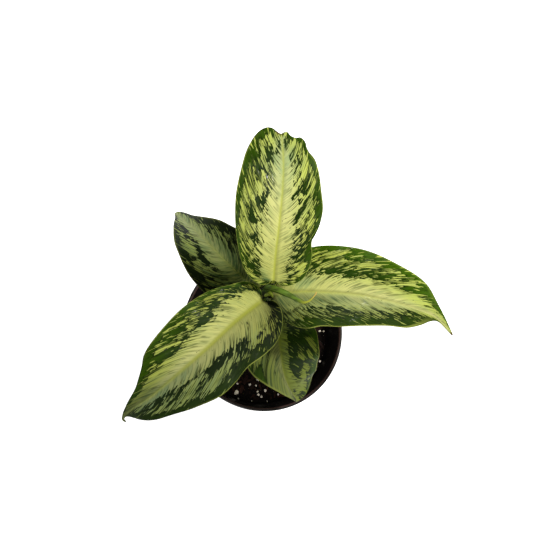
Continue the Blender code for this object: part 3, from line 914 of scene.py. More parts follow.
# Stands on the bud for the place round the outer turn, which is below 1 on the rolled leaf
BUD_MARK = 2.0
NEW_LEAF_BLOOM = (0.62, 0.66, 0.36)


def axis_path():
    """The upright growing axis: the cane, and the rolled leaf's stalk above it."""
    cane, _ = smooth_path(CANE_AXIS, AXIS_STEPS)
    roll, _ = smooth_path(ROLL_AXIS[:ROLL_UPRIGHT], AXIS_STEPS)
    return np.vstack([cane, roll[1:]])


GROWING_AXIS = axis_path()


def on_axis(height):
    return sample(height, GROWING_AXIS[:, 2], GROWING_AXIS)


def scar_share(height):
    """1 at a leaf scar's height, and 0 away from the scars."""
    return sum(math.exp(-(((height - scar) / SCAR_WIDTH) ** 2)) for scar in CANE_SCARS)


def cane_radius(height):
    share = np.clip((height - CANE_AXIS[1][2]) / (CANE_AXIS[-1][2] - CANE_AXIS[1][2]), 0, 1)
    radius = CANE_RADIUS[0] + (CANE_RADIUS[1] - CANE_RADIUS[0]) * share
    return radius + SCAR_HEIGHT * scar_share(height)


def cane_skin():
    """Satin green cane with corky leaf scars, striations and small pale pores."""
    stem = settings().stem
    made = Finish("cane_skin")
    place = made.place()
    scar, high, around = made.field("growth")
    stripes = made.noise(made.vector(around * 1.4, high * 0.09), 1.0, 3.0, 0.6)
    patches = made.noise(place, 0.22, 4.0, 0.6)
    pores = made.noise(made.vector(around * 1.5, high * 0.8), 1.0, 1.0, 0.5)
    pores = made.smooth(pores, 0.69, 0.75)
    dark = shaded(stem.cane, 0.55)
    colour = made.mix(made.smooth(stripes * 0.6 + patches * 0.5, 0.4, 0.7), dark, stem.cane)
    brown = shaded(stem.scar, 0.6)
    colour = made.mix(pores * 0.6, colour, stem.scar)
    colour = made.mix(made.smooth(84.0 - high + patches * 16.0, 0.0, 14.0) * 0.7, colour, brown)
    colour = made.mix(made.smooth(scar + patches * 0.3, 0.45, 0.8), colour, stem.scar)
    return made.finish({
        "Base Color": colour,
        "Roughness": made.clamp(0.38 + patches * 0.2 + scar * 0.25),
        "Normal": made.bump(stripes * 0.25 + pores * 0.2 + patches * 0.3, 0.9),
    })


def new_leaf_skin():
    """Smooth waxy green of the rolled leaf, with faint veins that wind round it and a pale tip.

    Painted shade makes it nearly black where the open leaves' bases close round the roll.
    """
    stem = settings().stem
    made = Finish("new_leaf_skin")
    share, around, edge = made.field("growth")
    veins = made.noise(made.vector(around * 5.0 + share * 26.0, share * 5.0), 1.0, 2.0, 0.5)
    clouds = made.noise(made.vector(around * 1.2, share * 16.0, 4.0), 1.0, 3.0, 0.6)
    dark = shaded(stem.new_leaf, 0.28)
    pale = sum_of(0.72, stem.new_leaf, 0.28, NEW_LEAF_BLOOM)
    colour = made.mix(made.smooth(veins * 0.6 + clouds * 0.4, 0.36, 0.64), dark, stem.new_leaf)
    colour = made.mix(made.smooth(share, 0.50, 0.74) * 0.10, colour, pale)
    # Painted shade: near black round the crown, where the open leaves close round the roll, and a
    # little darker down the stalk
    stalk = made.smooth(share, 0.44, 0.34) * 0.8
    colour = made.times(colour, 0.07 + (stalk + made.smooth(share, 0.53, 0.645)) * 0.93)
    colour = made.mix(made.smooth(edge, 0.12, 0.02), colour, dark)
    on_bud = made.smooth(edge, 1.0, BUD_MARK)
    colour = made.mix(made.smooth(share, 0.83, 0.93) * (1.0 - on_bud), colour, stem.new_lime)
    colour = made.mix(on_bud * 0.3, colour, stem.new_lime)
    colour = made.mix(made.smooth(share, 0.93, 0.99), colour, stem.new_tip)
    return made.finish({
        "Base Color": colour,
        "Roughness": made.clamp(
            0.80 + clouds * 0.16 - (stalk + made.smooth(share, 0.56, 0.68)) * 0.44
        ),
        "Specular IOR Level": 0.06,
        "Normal": made.bump(veins * 0.10 + clouds * 0.08, 0.8),
    })


class PLANT_OT_cane(bpy.types.Operator):
    """Make the short cane with its leaf scars"""

    bl_idname = "dieffenbachia.cane"
    bl_label = "Cane"

    def execute(self, context):
        foot, top = CANE_AXIS[0][2], CANE_AXIS[-1][2]
        places = [(z, 0.0) for z in np.linspace(foot, top - CANE_SHOULDER, CANE_RINGS)]
        places += [(top - below, inset) for below, inset in CANE_END]
        angles = 360 / CANE_SIDES * np.arange(CANE_SIDES)
        around = heading(angles)
        rings, growth = [], []
        for height, inset in places:
            ribs = np.array([rough(p, 0.16, 3.0 + height * 0.02) for p in around])
            radius = cane_radius(height) - inset + CANE_RIBS * (ribs - 1)
            rings.append(on_axis(height) + radius[:, None] * around)
            growth.append(stacked(scar_share(height), height, np.radians(angles) * 6.0))
        points, faces = skin(rings)
        add_piece(
            "cane", points, facing_out(points, faces), [cane_skin()], "stem",
            fields={"growth": np.vstack(growth)},
        )
        return {"FINISHED"}


def roll_frames(path):
    """Side and upward directions along the rolled leaf, carried along it without twist."""
    ahead = tangents(path)
    side = unit(np.cross(ahead[0], (0.0, 1.0, 0.0)))
    frames = []
    for direction in ahead:
        side = unit(side - np.dot(side, direction) * direction)
        frames.append((side, np.cross(direction, side)))
    return frames


def bud_section(share):
    """The bud's ring at a share of its length, and what its finish needs to know there."""
    around = heading(360 / BUD_SIDES * np.arange(BUD_SIDES))
    ribs = np.array([1 + BUD_RIBS * rough(p, 0.5, share * 2) for p in around])
    radius = np.interp(share, *zip(*BUD_RADII)) * ribs
    shade = BUD_SHADES[0] + (BUD_SHADES[1] - BUD_SHADES[0]) * share
    growth = stacked(shade, np.arange(BUD_SIDES) / BUD_SIDES, BUD_MARK)
    return radius[:, None] * around[:, :2], growth


def roll_section(share):
    """The roll's ring, on which the outer turn's edge winds slowly round, and its growth."""
    turn = np.linspace(0, 1, ROLL_SIDES, endpoint=False)
    radius = np.interp(share, *zip(*ROLL_RADII)) * (1 - ROLL_STEP * turn)
    angle = 2 * math.pi * (turn + ROLL_WIND * (share - 0.5))
    ring = radius[:, None] * stacked(np.cos(angle), np.sin(angle))
    return ring, stacked(share, turn, turn)


def make_rolled(name, axis, count, section, tip_growth, finish):
    """Makes a piece of the new leaf along an axis, with the rings that section gives."""
    path, _ = smooth_path(axis, count)
    rings, growth = [], []
    for k, (side, up) in enumerate(roll_frames(path)[:-1]):
        ring, known = section(k / (count - 1))
        rings.append(path[k] + ring[:, :1] * side + ring[:, 1:] * up)
        growth.append(known)
    growth.append([tip_growth])
    points, faces = skin(rings, path[-1])
    add_piece(
        name, points, facing_out(points, faces), [finish],
        "rolled_leaf", fields={"growth": np.vstack(growth)},
    )


class PLANT_OT_new_leaf(bpy.types.Operator):
    """Make the leaf that is still rolled, and the lime tip of the next one in the fold beside it"""

    bl_idname = "dieffenbachia.new_leaf"
    bl_label = "Rolled new leaf"

    def execute(self, context):
        finish = new_leaf_skin()
        bud_tip = (BUD_TIP_SHADE, 0.0, BUD_MARK)
        make_rolled("new_leaf_bud", BUD_AXIS, BUD_RINGS, bud_section, bud_tip, finish)
        roll_tip = (1.0, 0.0, 0.5)
        make_rolled("new_leaf_roll", ROLL_AXIS, ROLL_RINGS, roll_section, roll_tip, finish)
        return {"FINISHED"}


# Open leaves

HALVES = ((1, "left"), (-1, "right"))
BLADE_STEPS = 401
MARGIN_STEPS = 600
SOFT_STEPS = 30
BLADE_ROWS = 190
HALF_COLUMNS = 34
TIP_ROW = 0.996
# How much closer rows lie towards the tip, and columns towards the midrib and the margin
ROW_CROWDING = 1.25
COLUMN_CROWDING = 0.55
VEIN_START = 2.9
VEIN_BOW = 0.6
CURL_REACH = 30.0
CREASE = 1.1
FOLD_PLACES = (0, 0.25, 0.75, 1)
ROLL_PLACES = (0, 0.5, 1)
RIB = ((0.0, 3.6), (0.08, 2.6), (0.3, 1.5), (0.6, 0.8), (1.0, 0.2))
RIB_WIDTH = 2.2
WAVE_LENGTH = 27.0
WAVE_CALM = (12.0, 25.0)
MOTTLE_BLEND = 0.18
MARGIN_BLEND = 0.12
MARGIN_PALENESS = 0.06
CREAM_FALL = 0.08
PATCH_POWER = 1.5
MIDRIB_GROOVE = ((0.0, 0.45), (0.5, 0.32), (0.9, 0.15), (1.0, 0.0))
GROOVE_WIDTH = 1.15
# The low ridge beside the groove: its place and width, and its height as a share of the groove's
RIDGE = (2.3, 0.9, 0.35)
VEIN_JITTER = 0.35
# Vein spacing at which the pleats have their full depth, and the most that they swell beyond it
PLEAT_SPACING = 5.0
PLEAT_SWELL = 1.2
# Where the pleats start beside the midrib, over what width they rise, and how much lower they
# are at the margin
PLEAT_START = 1.5
PLEAT_RISE = 4.0
PLEAT_FALL = 0.55
# How much of the upper face's relief shows on the lower face
UNDER_RELIEF = 0.6
UNDER_VEINS = 0.22
TIP_FADE = 0.06
THINNING_REACH = 3.5
RIB_RISE = 8.0
MIDRIB_BLEND = 1.5
EDGE_FADE = 0.3
# Sets the halves of all leaves apart in the pattern's noise
PATTERN_STEP = 40.0
TIP_DROP = 0.15

STALK_RADIUS = 2.2
STALK_GROOVE = 0.35
STALK_STEPS = 400
STALK_RINGS = 64
STALK_SINK = 0.8
SHEATH_WALL = 1.3
SHEATH_EDGE = 0.7
# How narrow the rounding of the sheath's free edges is, and what is left of the wall's square there
SHEATH_ROUNDING = (14, 0.02)
SHEATH_REACH = 1.9
SHEATH_GAP = 0.55
COLLAR_HEIGHT = 5.0
ELBOW = 2.5
ELBOW_LEAN = 0.4
ELBOW_DROP = 2.2
ELBOW_RUN = 4.0
# Width in millimetres that a stalk's side has in the noise of its finish
FLECK_STEP = 3.4

# Each leaf gives, in millimetres and degrees:
# node: the height and azimuth at which its sheath starts on the cane; sheath: that sheath's length.
# stalk: stations of its stalk (height, distance from the growing axis, azimuth).
# midrib: points from the stalk to the tip.
# fold and roll: slopes of the halves and tilt of the blade at FOLD_PLACES and ROLL_PLACES, which
# are fractions of the blade's length.
# curl: how far a half bends down over CURL_REACH.
# wave and ripple: where the wave of its margins starts, and that wave's height.
# left and right: both margins as (along, across) pairs of the flat blade.
# The zones and the lists after them are in percent. Rows run from 0 at the base to 100 at the
# tip, and columns from 0 at the midrib to 100 at the margin.
# zones: (row, column where the solid cream ends, paleness of the mottled part outside it, column
# where the plain green margin starts).
# patches: (row, column, row size, column size, strength) of parts that are paler, or darker where
# the strength is negative. The lists after them take the same form and this order: soft grey-green
# clouds of painted shade and painted sheen over the cream, a pale grey-green painted sheen, painted
# shadow that lowers brightness, and dead dry brown tissue.
# rib: the strength of the midrib's lime band, its half width, the share of the length over which it
# fades, and how far from the base it starts.
# The painted brightness, deep, edge and lime entries have a number for each half: the painted
# brightness of all its colours and that of its dark green, which stand in for the light and shade
# on that half, the strength of the pale line along its margin, and the share of lime in its cream.
# The third number of edge is the row, as a fraction, at which that line has faded out.
NORTH = {
    "name": "north",
    "node": (127, 60),
    "sheath": 36,
    "stalk": ((150, 6.6, 66), (170, 6.2, 60), (188, 6.4, 50)),
    "midrib": (
        (-13.8, 14, 205), (-14, 28, 213), (-13, 45.5, 220), (-11.5, 69.5, 224), (-11, 89, 223),
        (-11.5, 104, 219),
    ),
    "fold": (20, 18, 14, 10),
    "curl": 22,
    "wave": 0.1,
    "ripple": 0.9,
    "left": (
        (-1, 2), (-2.5, 6), (0, 12.5), (6.5, 18.5), (17, 23.5), (35, 28), (52, 29), (72, 25.7),
        (84, 22), (92.5, 16.8), (97, 12.1), (98.6, 8.2), (98, 5.1), (96.3, 3), (94.8, 1),
    ),
    "right": (
        (-1, 2), (-3, 6), (-1.5, 12), (3, 18), (11, 21.5), (19, 22.5), (28, 21), (37, 24.5),
        (47, 26), (58, 23.7), (70, 22), (76.6, 19.7), (81.2, 16), (84, 14.9), (86.5, 14.7),
        (89.4, 13.7), (91.3, 11.5), (91, 8.8), (92.7, 5.9), (95.7, 3.8), (95.4, 1.2),
    ),
    "zones_left": (
        (0, 12, 15, 98), (30, 22, 35, 93), (45, 26, 56, 95), (65, 28, 56, 97), (90, 26, 54, 98),
        (100, 12, 50, 100),
    ),
    "zones_right": (
        (0, 26, 40, 90), (30, 24, 45, 90), (45, 20, 38, 85), (60, 30, 55, 92), (80, 32, 56, 96),
        (100, 12, 50, 100),
    ),
    "patches_left": (
        (14, 78, 9, 24, 50), (30, 60, 8, 14, -40), (43, 40, 2.2, 5, -50), (46, 82, 3, 10, 40),
        (54, 50, 3, 5, -40), (57.5, 33, 1.8, 4, -50), (60, 68, 3.5, 13, -40), (69, 60, 2.2, 7, -50),
        (74, 50, 3, 8, -40), (78, 40, 1.2, 6, -40), (80, 78, 3, 10, -35), (88.5, 62, 3, 12, -50),
        (66, 80, 3, 9, 25), (55, 72, 2.5, 10, 30),
    ),
    "patches_right": (
        (24, 82, 4, 12, 40), (30, 62, 3.5, 10, 30), (32, 40, 3, 5, -40), (46, 62, 7, 13, -30),
        (57.5, 40, 2.2, 6, -50), (60.5, 48, 1.8, 5, -40), (68.5, 45, 2.2, 11, -55),
        (78, 35, 1, 6, -50), (57, 80, 3, 7, 35), (72, 88, 3, 6, 35), (76, 68, 5, 7, -35),
        (82, 86, 3.5, 8, 30),
    ),
    "painted_shades_left": ((14, 28, 16, 17, 100), (88, 50, 6, 20, 30)),
    "painted_shades_right": ((95, 55, 6, 20, 30),),
    "painted_sheens_left": ((95, 10, 13, 60, 75),),
    "painted_sheens_right": ((95, 10, 14, 60, 75),),
    "dead_left": ((98.8, 100, 1.4, 25, 100),),
    "rib": (0.75, 0.75, 1.5, -10),
    "painted_brightness": (0.95, 1.08),
    "deep": (0.85, 0.8),
    "edge": (0.45, 0.3, 0.93),
}
SOUTHWEST = {
    "name": "southwest",
    "node": (118, 228),
    "sheath": 22,
    "stalk": ((150, 9.2, 238), (172, 8.4, 246)),
    "midrib": (
        (-19, 3, 196), (-37, -12, 203), (-55.5, -30, 205), (-70, -43, 201), (-87, -57.5, 190),
        (-98.5, -65, 179), (-102, -69.5, 170), (-100, -71.4, 166.5),
    ),
    "fold": (18, 16, 16, 12),
    "curl": 22,
    "wave": 0.55,
    "ripple": 0.9,
    "left": (
        (-1, 2), (-5.5, 5), (-4, 13), (4.5, 21.5), (15, 26.5), (28, 27), (41, 25.5), (51, 27),
        (62, 27), (76, 23), (90, 17.2), (99.8, 13.5), (105.4, 10.7), (112.2, 6.4), (116.7, 2.7),
        (119.5, 1.2), (122, 0.8), (127.5, 0.5),
    ),
    "right": (
        (-1, 2), (-2.5, 6), (-1, 11), (4, 16.5), (14, 20), (27, 25.5), (40, 28), (55, 28),
        (70, 25.5), (81, 22), (87, 17.5), (95, 12.6), (102.2, 8.7), (108.5, 5.8), (113.4, 3.6),
        (117.4, 2.4), (121, 1.3), (127.5, 0.5),
    ),
    "zones_left": (
        (0, 22, 34, 85), (25, 30, 36, 80), (42, 50, 50, 82), (53, 32, 38, 85), (65, 30, 45, 97),
        (75, 40, 54, 100), (85, 30, 42, 97), (92, 35, 40, 93), (100, 50, 45, 90),
    ),
    "zones_right": (
        (0, 36, 30, 80), (30, 36, 24, 85), (45, 36, 42, 95), (60, 38, 42, 98), (70, 50, 50, 100),
        (77, 75, 50, 98), (100, 85, 50, 93),
    ),
    "patches_left": (
        (-2, 0, 12, 75, -85), (25, 70, 10, 20, 15), (43, 62, 3.5, 18, 30), (38, 62, 2, 6, -40),
        (49.5, 24, 1.2, 7, -45), (53, 52, 3.5, 14, -40), (62, 78, 3.5, 13, 50),
        (65.5, 50, 5, 12, -50), (74, 70, 3, 14, 30), (78, 62, 2, 12, -35), (86, 55, 2.5, 15, -30),
    ),
    "patches_right": (
        (-2, 0, 12, 75, -85), (12, 72, 2.5, 12, 45), (37.5, 38, 3, 7, -50), (40, 52, 2.5, 9, -25),
        (38, 75, 2.5, 12, 35), (47, 60, 3, 7, -40), (56.5, 52, 3.5, 13, -60), (58, 68, 5, 6, 35),
        (60, 80, 3.5, 9, -35), (70, 78, 2, 16, -60), (84, 90, 4, 6, -40),
    ),
    "painted_shades_left": ((100, 50, 8, 80, 40),),
    "painted_shades_right": ((98, 50, 16, 100, 60),),
    "painted_sheens_left": ((93, 30, 17, 100, 100), (68, 75, 28, 35, 65)),
    "painted_sheens_right": ((97, 10, 16, 40, 80),),
    "painted_shadow_left": ((5, 60, 24, 60, 60), (100, 60, 6, 80, 40)),
    "painted_shadow_right": ((98, 70, 18, 90, 55), (0, 50, 12, 90, 30)),
    "rib": (0.85, 1.25, 0.9, -2),
    "painted_brightness": (0.53, 0.8),
    "deep": (0.5, 1.0),
    "edge": (0.85, 0.6, 0.72),
}
EAST = {
    "name": "east",
    "node": (108, -10),
    "sheath": 22,
    "stalk": ((136, 9.6, -14), (165, 7.8, -20)),
    "midrib": (
        (-11.5, 8, 188), (5.5, 9.5, 193), (24, 9, 196), (43.5, 8, 196), (64, 5, 193), (82, 2, 187),
        (98, -2, 179), (113.6, -11.6, 166),
    ),
    "fold": (12, 28, 26, 16),
    "roll": (6, 20, 8),
    "curl": 24,
    "wave": 0.3,
    "ripple": 0.9,
    "left": (
        (-1, 2), (3, 4.5), (5.5, 8.5), (8, 14.5), (13, 22), (21, 27.5), (34, 31), (48, 31),
        (62, 28.5), (75, 25), (88, 21), (99, 15.7), (109, 8.9), (116.5, 5.2), (124, 3.1),
        (131, 1.7), (136.5, 0.6),
    ),
    "right": (
        (-1, 2), (-2, 7), (3, 13.5), (8, 19), (15, 22.5), (24, 23.5), (32, 22), (45, 21.5),
        (62, 19), (77, 16), (92, 14), (102, 9.6), (110, 4.8), (118, 1.4), (126, 0.8), (136.5, 0.5),
    ),
    "zones_left": (
        (0, 30, 30, 90), (40, 30, 42, 95), (50, 30, 42, 95), (60, 36, 45, 97), (70, 50, 50, 98),
        (80, 70, 50, 98), (100, 80, 50, 96),
    ),
    "zones_right": (
        (0, 10, 20, 80), (20, 30, 42, 85), (50, 35, 45, 85), (65, 42, 50, 88), (80, 55, 42, 92),
        (90, 80, 50, 98), (100, 85, 50, 96),
    ),
    "patches_left": (
        (40, 85, 3, 11, 45), (47, 70, 2.5, 10, 40), (55, 85, 1.5, 10, 35), (52, 55, 3, 9, -35),
        (61, 90, 2.5, 5, 40), (60, 60, 3.5, 15, -35), (66, 76, 3, 10, -30), (71, 84, 2, 9, 30),
        (75.5, 81, 2.2, 9, -70), (86, 76, 1.2, 7, -40), (90, 78, 0.8, 8, -40),
    ),
    "patches_right": (
        (23, 62, 2, 9, 30), (28, 68, 2.5, 10, 35), (35, 62, 3, 10, 30), (55, 62, 3.5, 8, -35),
        (60, 62, 4.5, 7, 30), (73, 72, 2.5, 6, -35), (77, 56, 1.8, 5, -50),
        (82.5, 68, 1.8, 16, -60),
    ),
    "painted_shades_left": ((48, 20, 5, 15, 30),),
    "painted_shades_right": ((12, 50, 20, 60, 70), (30, 20, 16, 25, 80), (55, 28, 12, 14, 50)),
    "painted_sheens_left": ((48, 20, 6, 15, 40),),
    "painted_sheens_right": ((55, 30, 35, 50, 45),),
    "painted_shadow_left": ((10, 30, 26, 50, 40),),
    "painted_shadow_right": ((5, 40, 20, 80, 72),),
    "dead_left": ((100, 50, 1.2, 200, 100),),
    "dead_right": ((100, 50, 1.2, 200, 100),),
    "rib": (0.4, 1.0, 0.7, 0),
    "painted_brightness": (1.14, 0.64),
    "deep": (1.2, 0.85),
    "edge": (0.15, 0.8, 0.93),
}
NORTHWEST = {
    "name": "northwest",
    "node": (97, 128),
    "sheath": 20,
    "stalk": ((126, 11, 122), (143, 10.6, 116)),
    "midrib": (
        (-16.5, 16.5, 158), (-30, 25.5, 167), (-42, 36, 169), (-52, 48.5, 162), (-60.5, 60.5, 148),
        (-67.2, 72.8, 129),
    ),
    "fold": (16, 18, 18, 14),
    "curl": 20,
    "wave": 0.8,
    "ripple": 0.9,
    "left": (
        (-1, 2), (-2, 7), (1, 14), (9, 22), (20, 26), (32, 26), (44, 23), (60, 17.5), (74, 10.5),
        (88, 3.6), (93, 1.8), (97, 0.6),
    ),
    "right": (
        (-1, 2), (-2, 7), (1, 13), (9, 20.5), (20, 24), (32, 22.5), (42, 19.5), (53, 16.5),
        (64, 12), (78, 6.8), (88.9, 4.4), (95, 2.2), (97, 0.6),
    ),
    "zones_left": (
        (0, 40, 35, 80), (60, 30, 35, 93), (75, 35, 45, 95), (90, 50, 45, 97), (100, 80, 50, 98),
    ),
    "zones_right": (
        (0, 35, 40, 80), (60, 32, 36, 90), (75, 42, 40, 90), (88, 60, 42, 93), (100, 75, 50, 96),
    ),
    "patches_left": (
        (68, 80, 4.5, 14, 45), (64, 60, 3.5, 9, -50), (70, 55, 2, 6, -40), (78, 72, 1.5, 8, -50),
        (55, 75, 3, 20, 20), (85, 62, 2, 12, -40),
    ),
    "patches_right": (
        (65, 55, 1.5, 12, 30), (70, 60, 1.2, 15, 30), (62, 50, 3, 12, -30), (76, 62, 1.2, 10, -40),
    ),
    "painted_shades_left": ((42, 10, 24, 90, 100), (66, 30, 12, 30, 35)),
    "painted_shades_right": ((44, 10, 28, 90, 100), (68, 30, 14, 50, 45)),
    "painted_sheens_left": ((92, 30, 18, 70, 70), (70, 40, 20, 70, 45)),
    "painted_sheens_right": ((92, 30, 18, 70, 70), (70, 40, 20, 70, 55)),
    "painted_shadow_left": ((36, 30, 30, 160, 73.5),),
    "painted_shadow_right": ((40, 40, 30, 160, 72),),
    "rib": (0.2, 1.2, 1.0, -10),
    "painted_brightness": (1.38, 1.17),
    "deep": (0.3, 0.29),
    "edge": (0.3, 0.3, 0.9),
}
SOUTH = {
    "name": "south",
    "node": (86, -70),
    "sheath": 20,
    "stalk": ((115, 12, -58), (133, 12.8, -50)),
    "midrib": (
        (-2.5, -2, 148), (-1.5, -14.5, 155), (0, -24.5, 155), (3, -34, 147), (9.5, -44, 134),
        (19, -52, 116),
    ),
    "fold": (16, 22, 20, 14),
    "curl": 20,
    "wave": 0.45,
    "ripple": 0.1,
    "left": (
        (-1, 2), (-2, 7), (1, 14), (6, 20.5), (13, 25), (22, 25.5), (35, 24.5), (50, 22.2),
        (57, 20.4), (64.6, 18.0), (70.8, 14.6), (75.2, 10.4), (77.8, 5.4), (77.5, 1),
    ),
    "right": (
        (-1, 2), (-2, 7), (1, 13), (7, 19.5), (15, 24.5), (24, 26), (31, 22.5), (38, 17), (49, 10),
        (62, 4.7), (72, 2), (77, 1),
    ),
    "zones_left": (
        (0, 20, 15, 90), (55, 12, 20, 100), (75, 10, 28, 100), (87, 35, 45, 100),
        (100, 50, 40, 110),
    ),
    "zones_right": (
        (0, 30, 90, 90), (50, 30, 72, 94), (60, 40, 80, 100), (68, 40, 115, 130),
        (90, 30, 130, 140), (100, 30, 50, 100),
    ),
    "patches_left": (
        (43, 86, 4, 13, 75), (53, 80, 3, 10, 60), (60, 58, 3.5, 10, 60), (68, 74, 4.5, 9, 70),
        (80, 68, 7, 9, 60), (88, 62, 5, 25, 40), (93, 25, 3, 25, -50),
    ),
    "patches_right": ((55, 88, 4, 12, -60), (70, 62, 3, 12, -70), (95.5, 50, 2.5, 50, -60)),
    "painted_shades_left": ((45, 30, 20, 40, 40), (66, 15, 12, 25, 40)),
    "painted_shades_right": ((60, 50, 70, 140, 55),),
    "painted_shadow_left": ((15, 30, 25, 120, 35),),
    "painted_shadow_right": ((22, 30, 30, 120, 50),),
    "rib": (0.35, 1.0, 1.2, -10),
    "painted_brightness": (0.43, 0.36),
    "deep": (1.7, 1.3),
    "edge": (0.8, 0.7, 1.0),
    "lime": (0.9, 0.3),
}
LEAVES = (NORTH, SOUTHWEST, EAST, NORTHWEST, SOUTH)


class Blade:
    """Maps a flat blade, (along, across) from the stalk's end, to its place in space."""

    def __init__(self, leaf):
        self.path, self.length = smooth_path(leaf["midrib"], BLADE_STEPS)
        self.ahead = tangents(self.path)
        self.reach = np.linspace(0, self.length, len(self.path))
        share = self.reach / self.length
        fold, roll = np.radians(leaf["fold"]), np.radians(leaf.get("roll", (0, 0, 0)))
        self.fold = soften(np.interp(share, FOLD_PLACES, fold), SOFT_STEPS)
        self.roll = soften(np.interp(share, ROLL_PLACES, roll), SOFT_STEPS)
        self.bend = math.radians(leaf["curl"]) / CURL_REACH
        self.wave = leaf["wave"]
        self.wave_height = leaf["ripple"]
        self.margins = {}
        self.margin_lengths = {}
        for sign, key in HALVES:
            line, length = smooth_path(leaf[key], MARGIN_STEPS)
            self.margins[sign] = line * (1, sign)
            self.margin_lengths[sign] = length

    def frame(self, along):
        inside = np.clip(along, 0, self.length)
        point = sample(inside, self.reach, self.path)
        ahead = unit(sample(inside, self.reach, self.ahead))
        left = unit(np.cross(UP, ahead))
        up = np.cross(ahead, left)
        roll = np.interp(inside, self.reach, self.roll)[..., None]
        turned_left = np.cos(roll) * left + np.sin(roll) * up
        turned_up = np.cos(roll) * up - np.sin(roll) * left
        return point + (along - inside)[..., None] * ahead, ahead, turned_left, turned_up

    def ripple(self, along, across):
        """Height of the wave along the outer part of a half, out of step with the other."""
        calm, full = WAVE_CALM
        grow = ease((np.abs(across) - calm) / (full - calm))
        shift = self.wave + np.where(across > 0, 0.5, 0)
        return self.wave_height * grow * np.sin(2 * math.pi * (along / WAVE_LENGTH + shift))

    def place(self, along, across):
        """Points of the upper face there, and the directions away from that face."""
        point, _, left, up = self.frame(along)
        start = np.interp(along, self.reach, self.fold)
        out = np.abs(across)
        rounded = np.hypot(out, CREASE)
        slope = start - self.bend * out
        lean = start * out / rounded - self.bend * out
        sideways = (np.sin(start) - np.sin(slope)) / self.bend
        rise = (np.cos(slope) - np.cos(start)) / self.bend + np.sin(start) * (rounded - out)
        sign = np.where(across >= 0, 1, -1)
        normal = np.cos(lean)[..., None] * up - (sign * np.sin(lean))[..., None] * left
        surface = point + (sign * sideways)[..., None] * left + rise[..., None] * up
        return surface + self.ripple(along, across)[..., None] * normal, normal

    def flat(self, row, column, sign):
        """Flat place of a row, 0 to 1 from base to tip, and a column, 0 to 1 out to the margin."""
        line = self.margins[sign]
        edge = sample(row * (len(line) - 1), np.arange(len(line)), line)
        start = self.length * row**VEIN_START
        bow = (1 - VEIN_BOW) * column + VEIN_BOW * column**3
        return start + (edge[..., 0] - start) * bow, edge[..., 1] * column

    def width(self, row, sign):
        """Width of a half at a row."""
        return np.abs(self.flat(row, np.ones_like(row), sign)[1])


def bell(patch, row, column):
    """A smooth hump of height 1 with a broad top, at a patch's row and column."""
    patch_row, patch_column, row_size, column_size = patch[:4]
    away = ((row - patch_row) / row_size) ** 2 + ((column - patch_column) / column_size) ** 2
    return np.exp(-(away**PATCH_POWER))


def strongest(patches, row, column):
    """The highest of the patches' humps at each row and column."""
    value = np.zeros_like(row)
    for patch in patches:
        value = np.maximum(value, patch[-1] * bell(patch, row, column))
    return value


def zone_value(zones, patches, row, column):
    """Paleness, from 1 at the midrib through 0.5 where cream and green are even."""
    rows, solid, level, dark = np.array(zones).T / 100
    solid, level, dark = (np.interp(row, rows, values) for values in (solid, level, dark))
    value = 1 - CREAM_FALL * np.clip(column / solid, 0, 1)
    value = value + (level - value) * ease((column - solid) / MOTTLE_BLEND)
    value = value + (MARGIN_PALENESS - value) * ease((column - dark) / MARGIN_BLEND + 1)
    for patch in patches:
        value = value + patch[-1] * bell(patch, row, column)
    return value


def half_faces(blade, number, sign, row, column):
    """Upper and lower face of a half, with its pleats, its midrib and a margin that thins out."""
    sizes = settings().leaf
    body, margin, veins = sizes.body / MM, sizes.margin / MM, sizes.vein_pairs
    along, across = blade.flat(row, column, sign)
    surface, normal = blade.place(along, across)
    out = np.abs(across)
    share = along / blade.length
    tip_fade = ease((1 - row) / TIP_FADE)
    # Pleats between the side veins, deeper where these are further apart
    jitter = VEIN_JITTER * np.sin(row * 31 + 7 * number + sign) / veins
    phase = 2 * math.pi * veins * (row + jitter)
    spacing = np.gradient(along, axis=0) / np.gradient(row, axis=0) / veins
    swell = np.clip(np.abs(spacing) / PLEAT_SPACING, 0.0, PLEAT_SWELL)
    calm = ease((out - PLEAT_START) / PLEAT_RISE)
    calm = calm * (1 - PLEAT_FALL * ease(column / 0.95 - 0.1))
    pleat = sizes.vein_relief / MM * swell * calm
    relief = pleat * tip_fade * (1.6 * np.abs(np.cos(phase / 2)) ** 0.7 - 1.0)
    # A groove over the midrib, with a low ridge beside it
    groove = np.interp(share, *zip(*MIDRIB_GROOVE)) * tip_fade
    ridge_place, ridge_width, ridge_share = RIDGE
    relief = relief - groove * np.exp(-((out / GROOVE_WIDTH) ** 2))
    relief = relief + ridge_share * groove * np.exp(-(((out - ridge_place) / ridge_width) ** 2))
    # The midrib and the side veins stand out from the lower face
    from_margin = blade.width(row, sign) * (1 - column)
    thick = margin + (body - margin) * ease(from_margin / THINNING_REACH)
    thick = thick + np.interp(share, *zip(*RIB)) * np.exp(-((out / RIB_WIDTH) ** 2))
    under_veins = UNDER_VEINS * calm * tip_fade * swell * np.maximum(np.cos(phase), 0) ** 6
    upper = surface + relief[..., None] * normal
    lower = surface + (relief * UNDER_RELIEF - thick - under_veins)[..., None] * normal
    return upper, lower


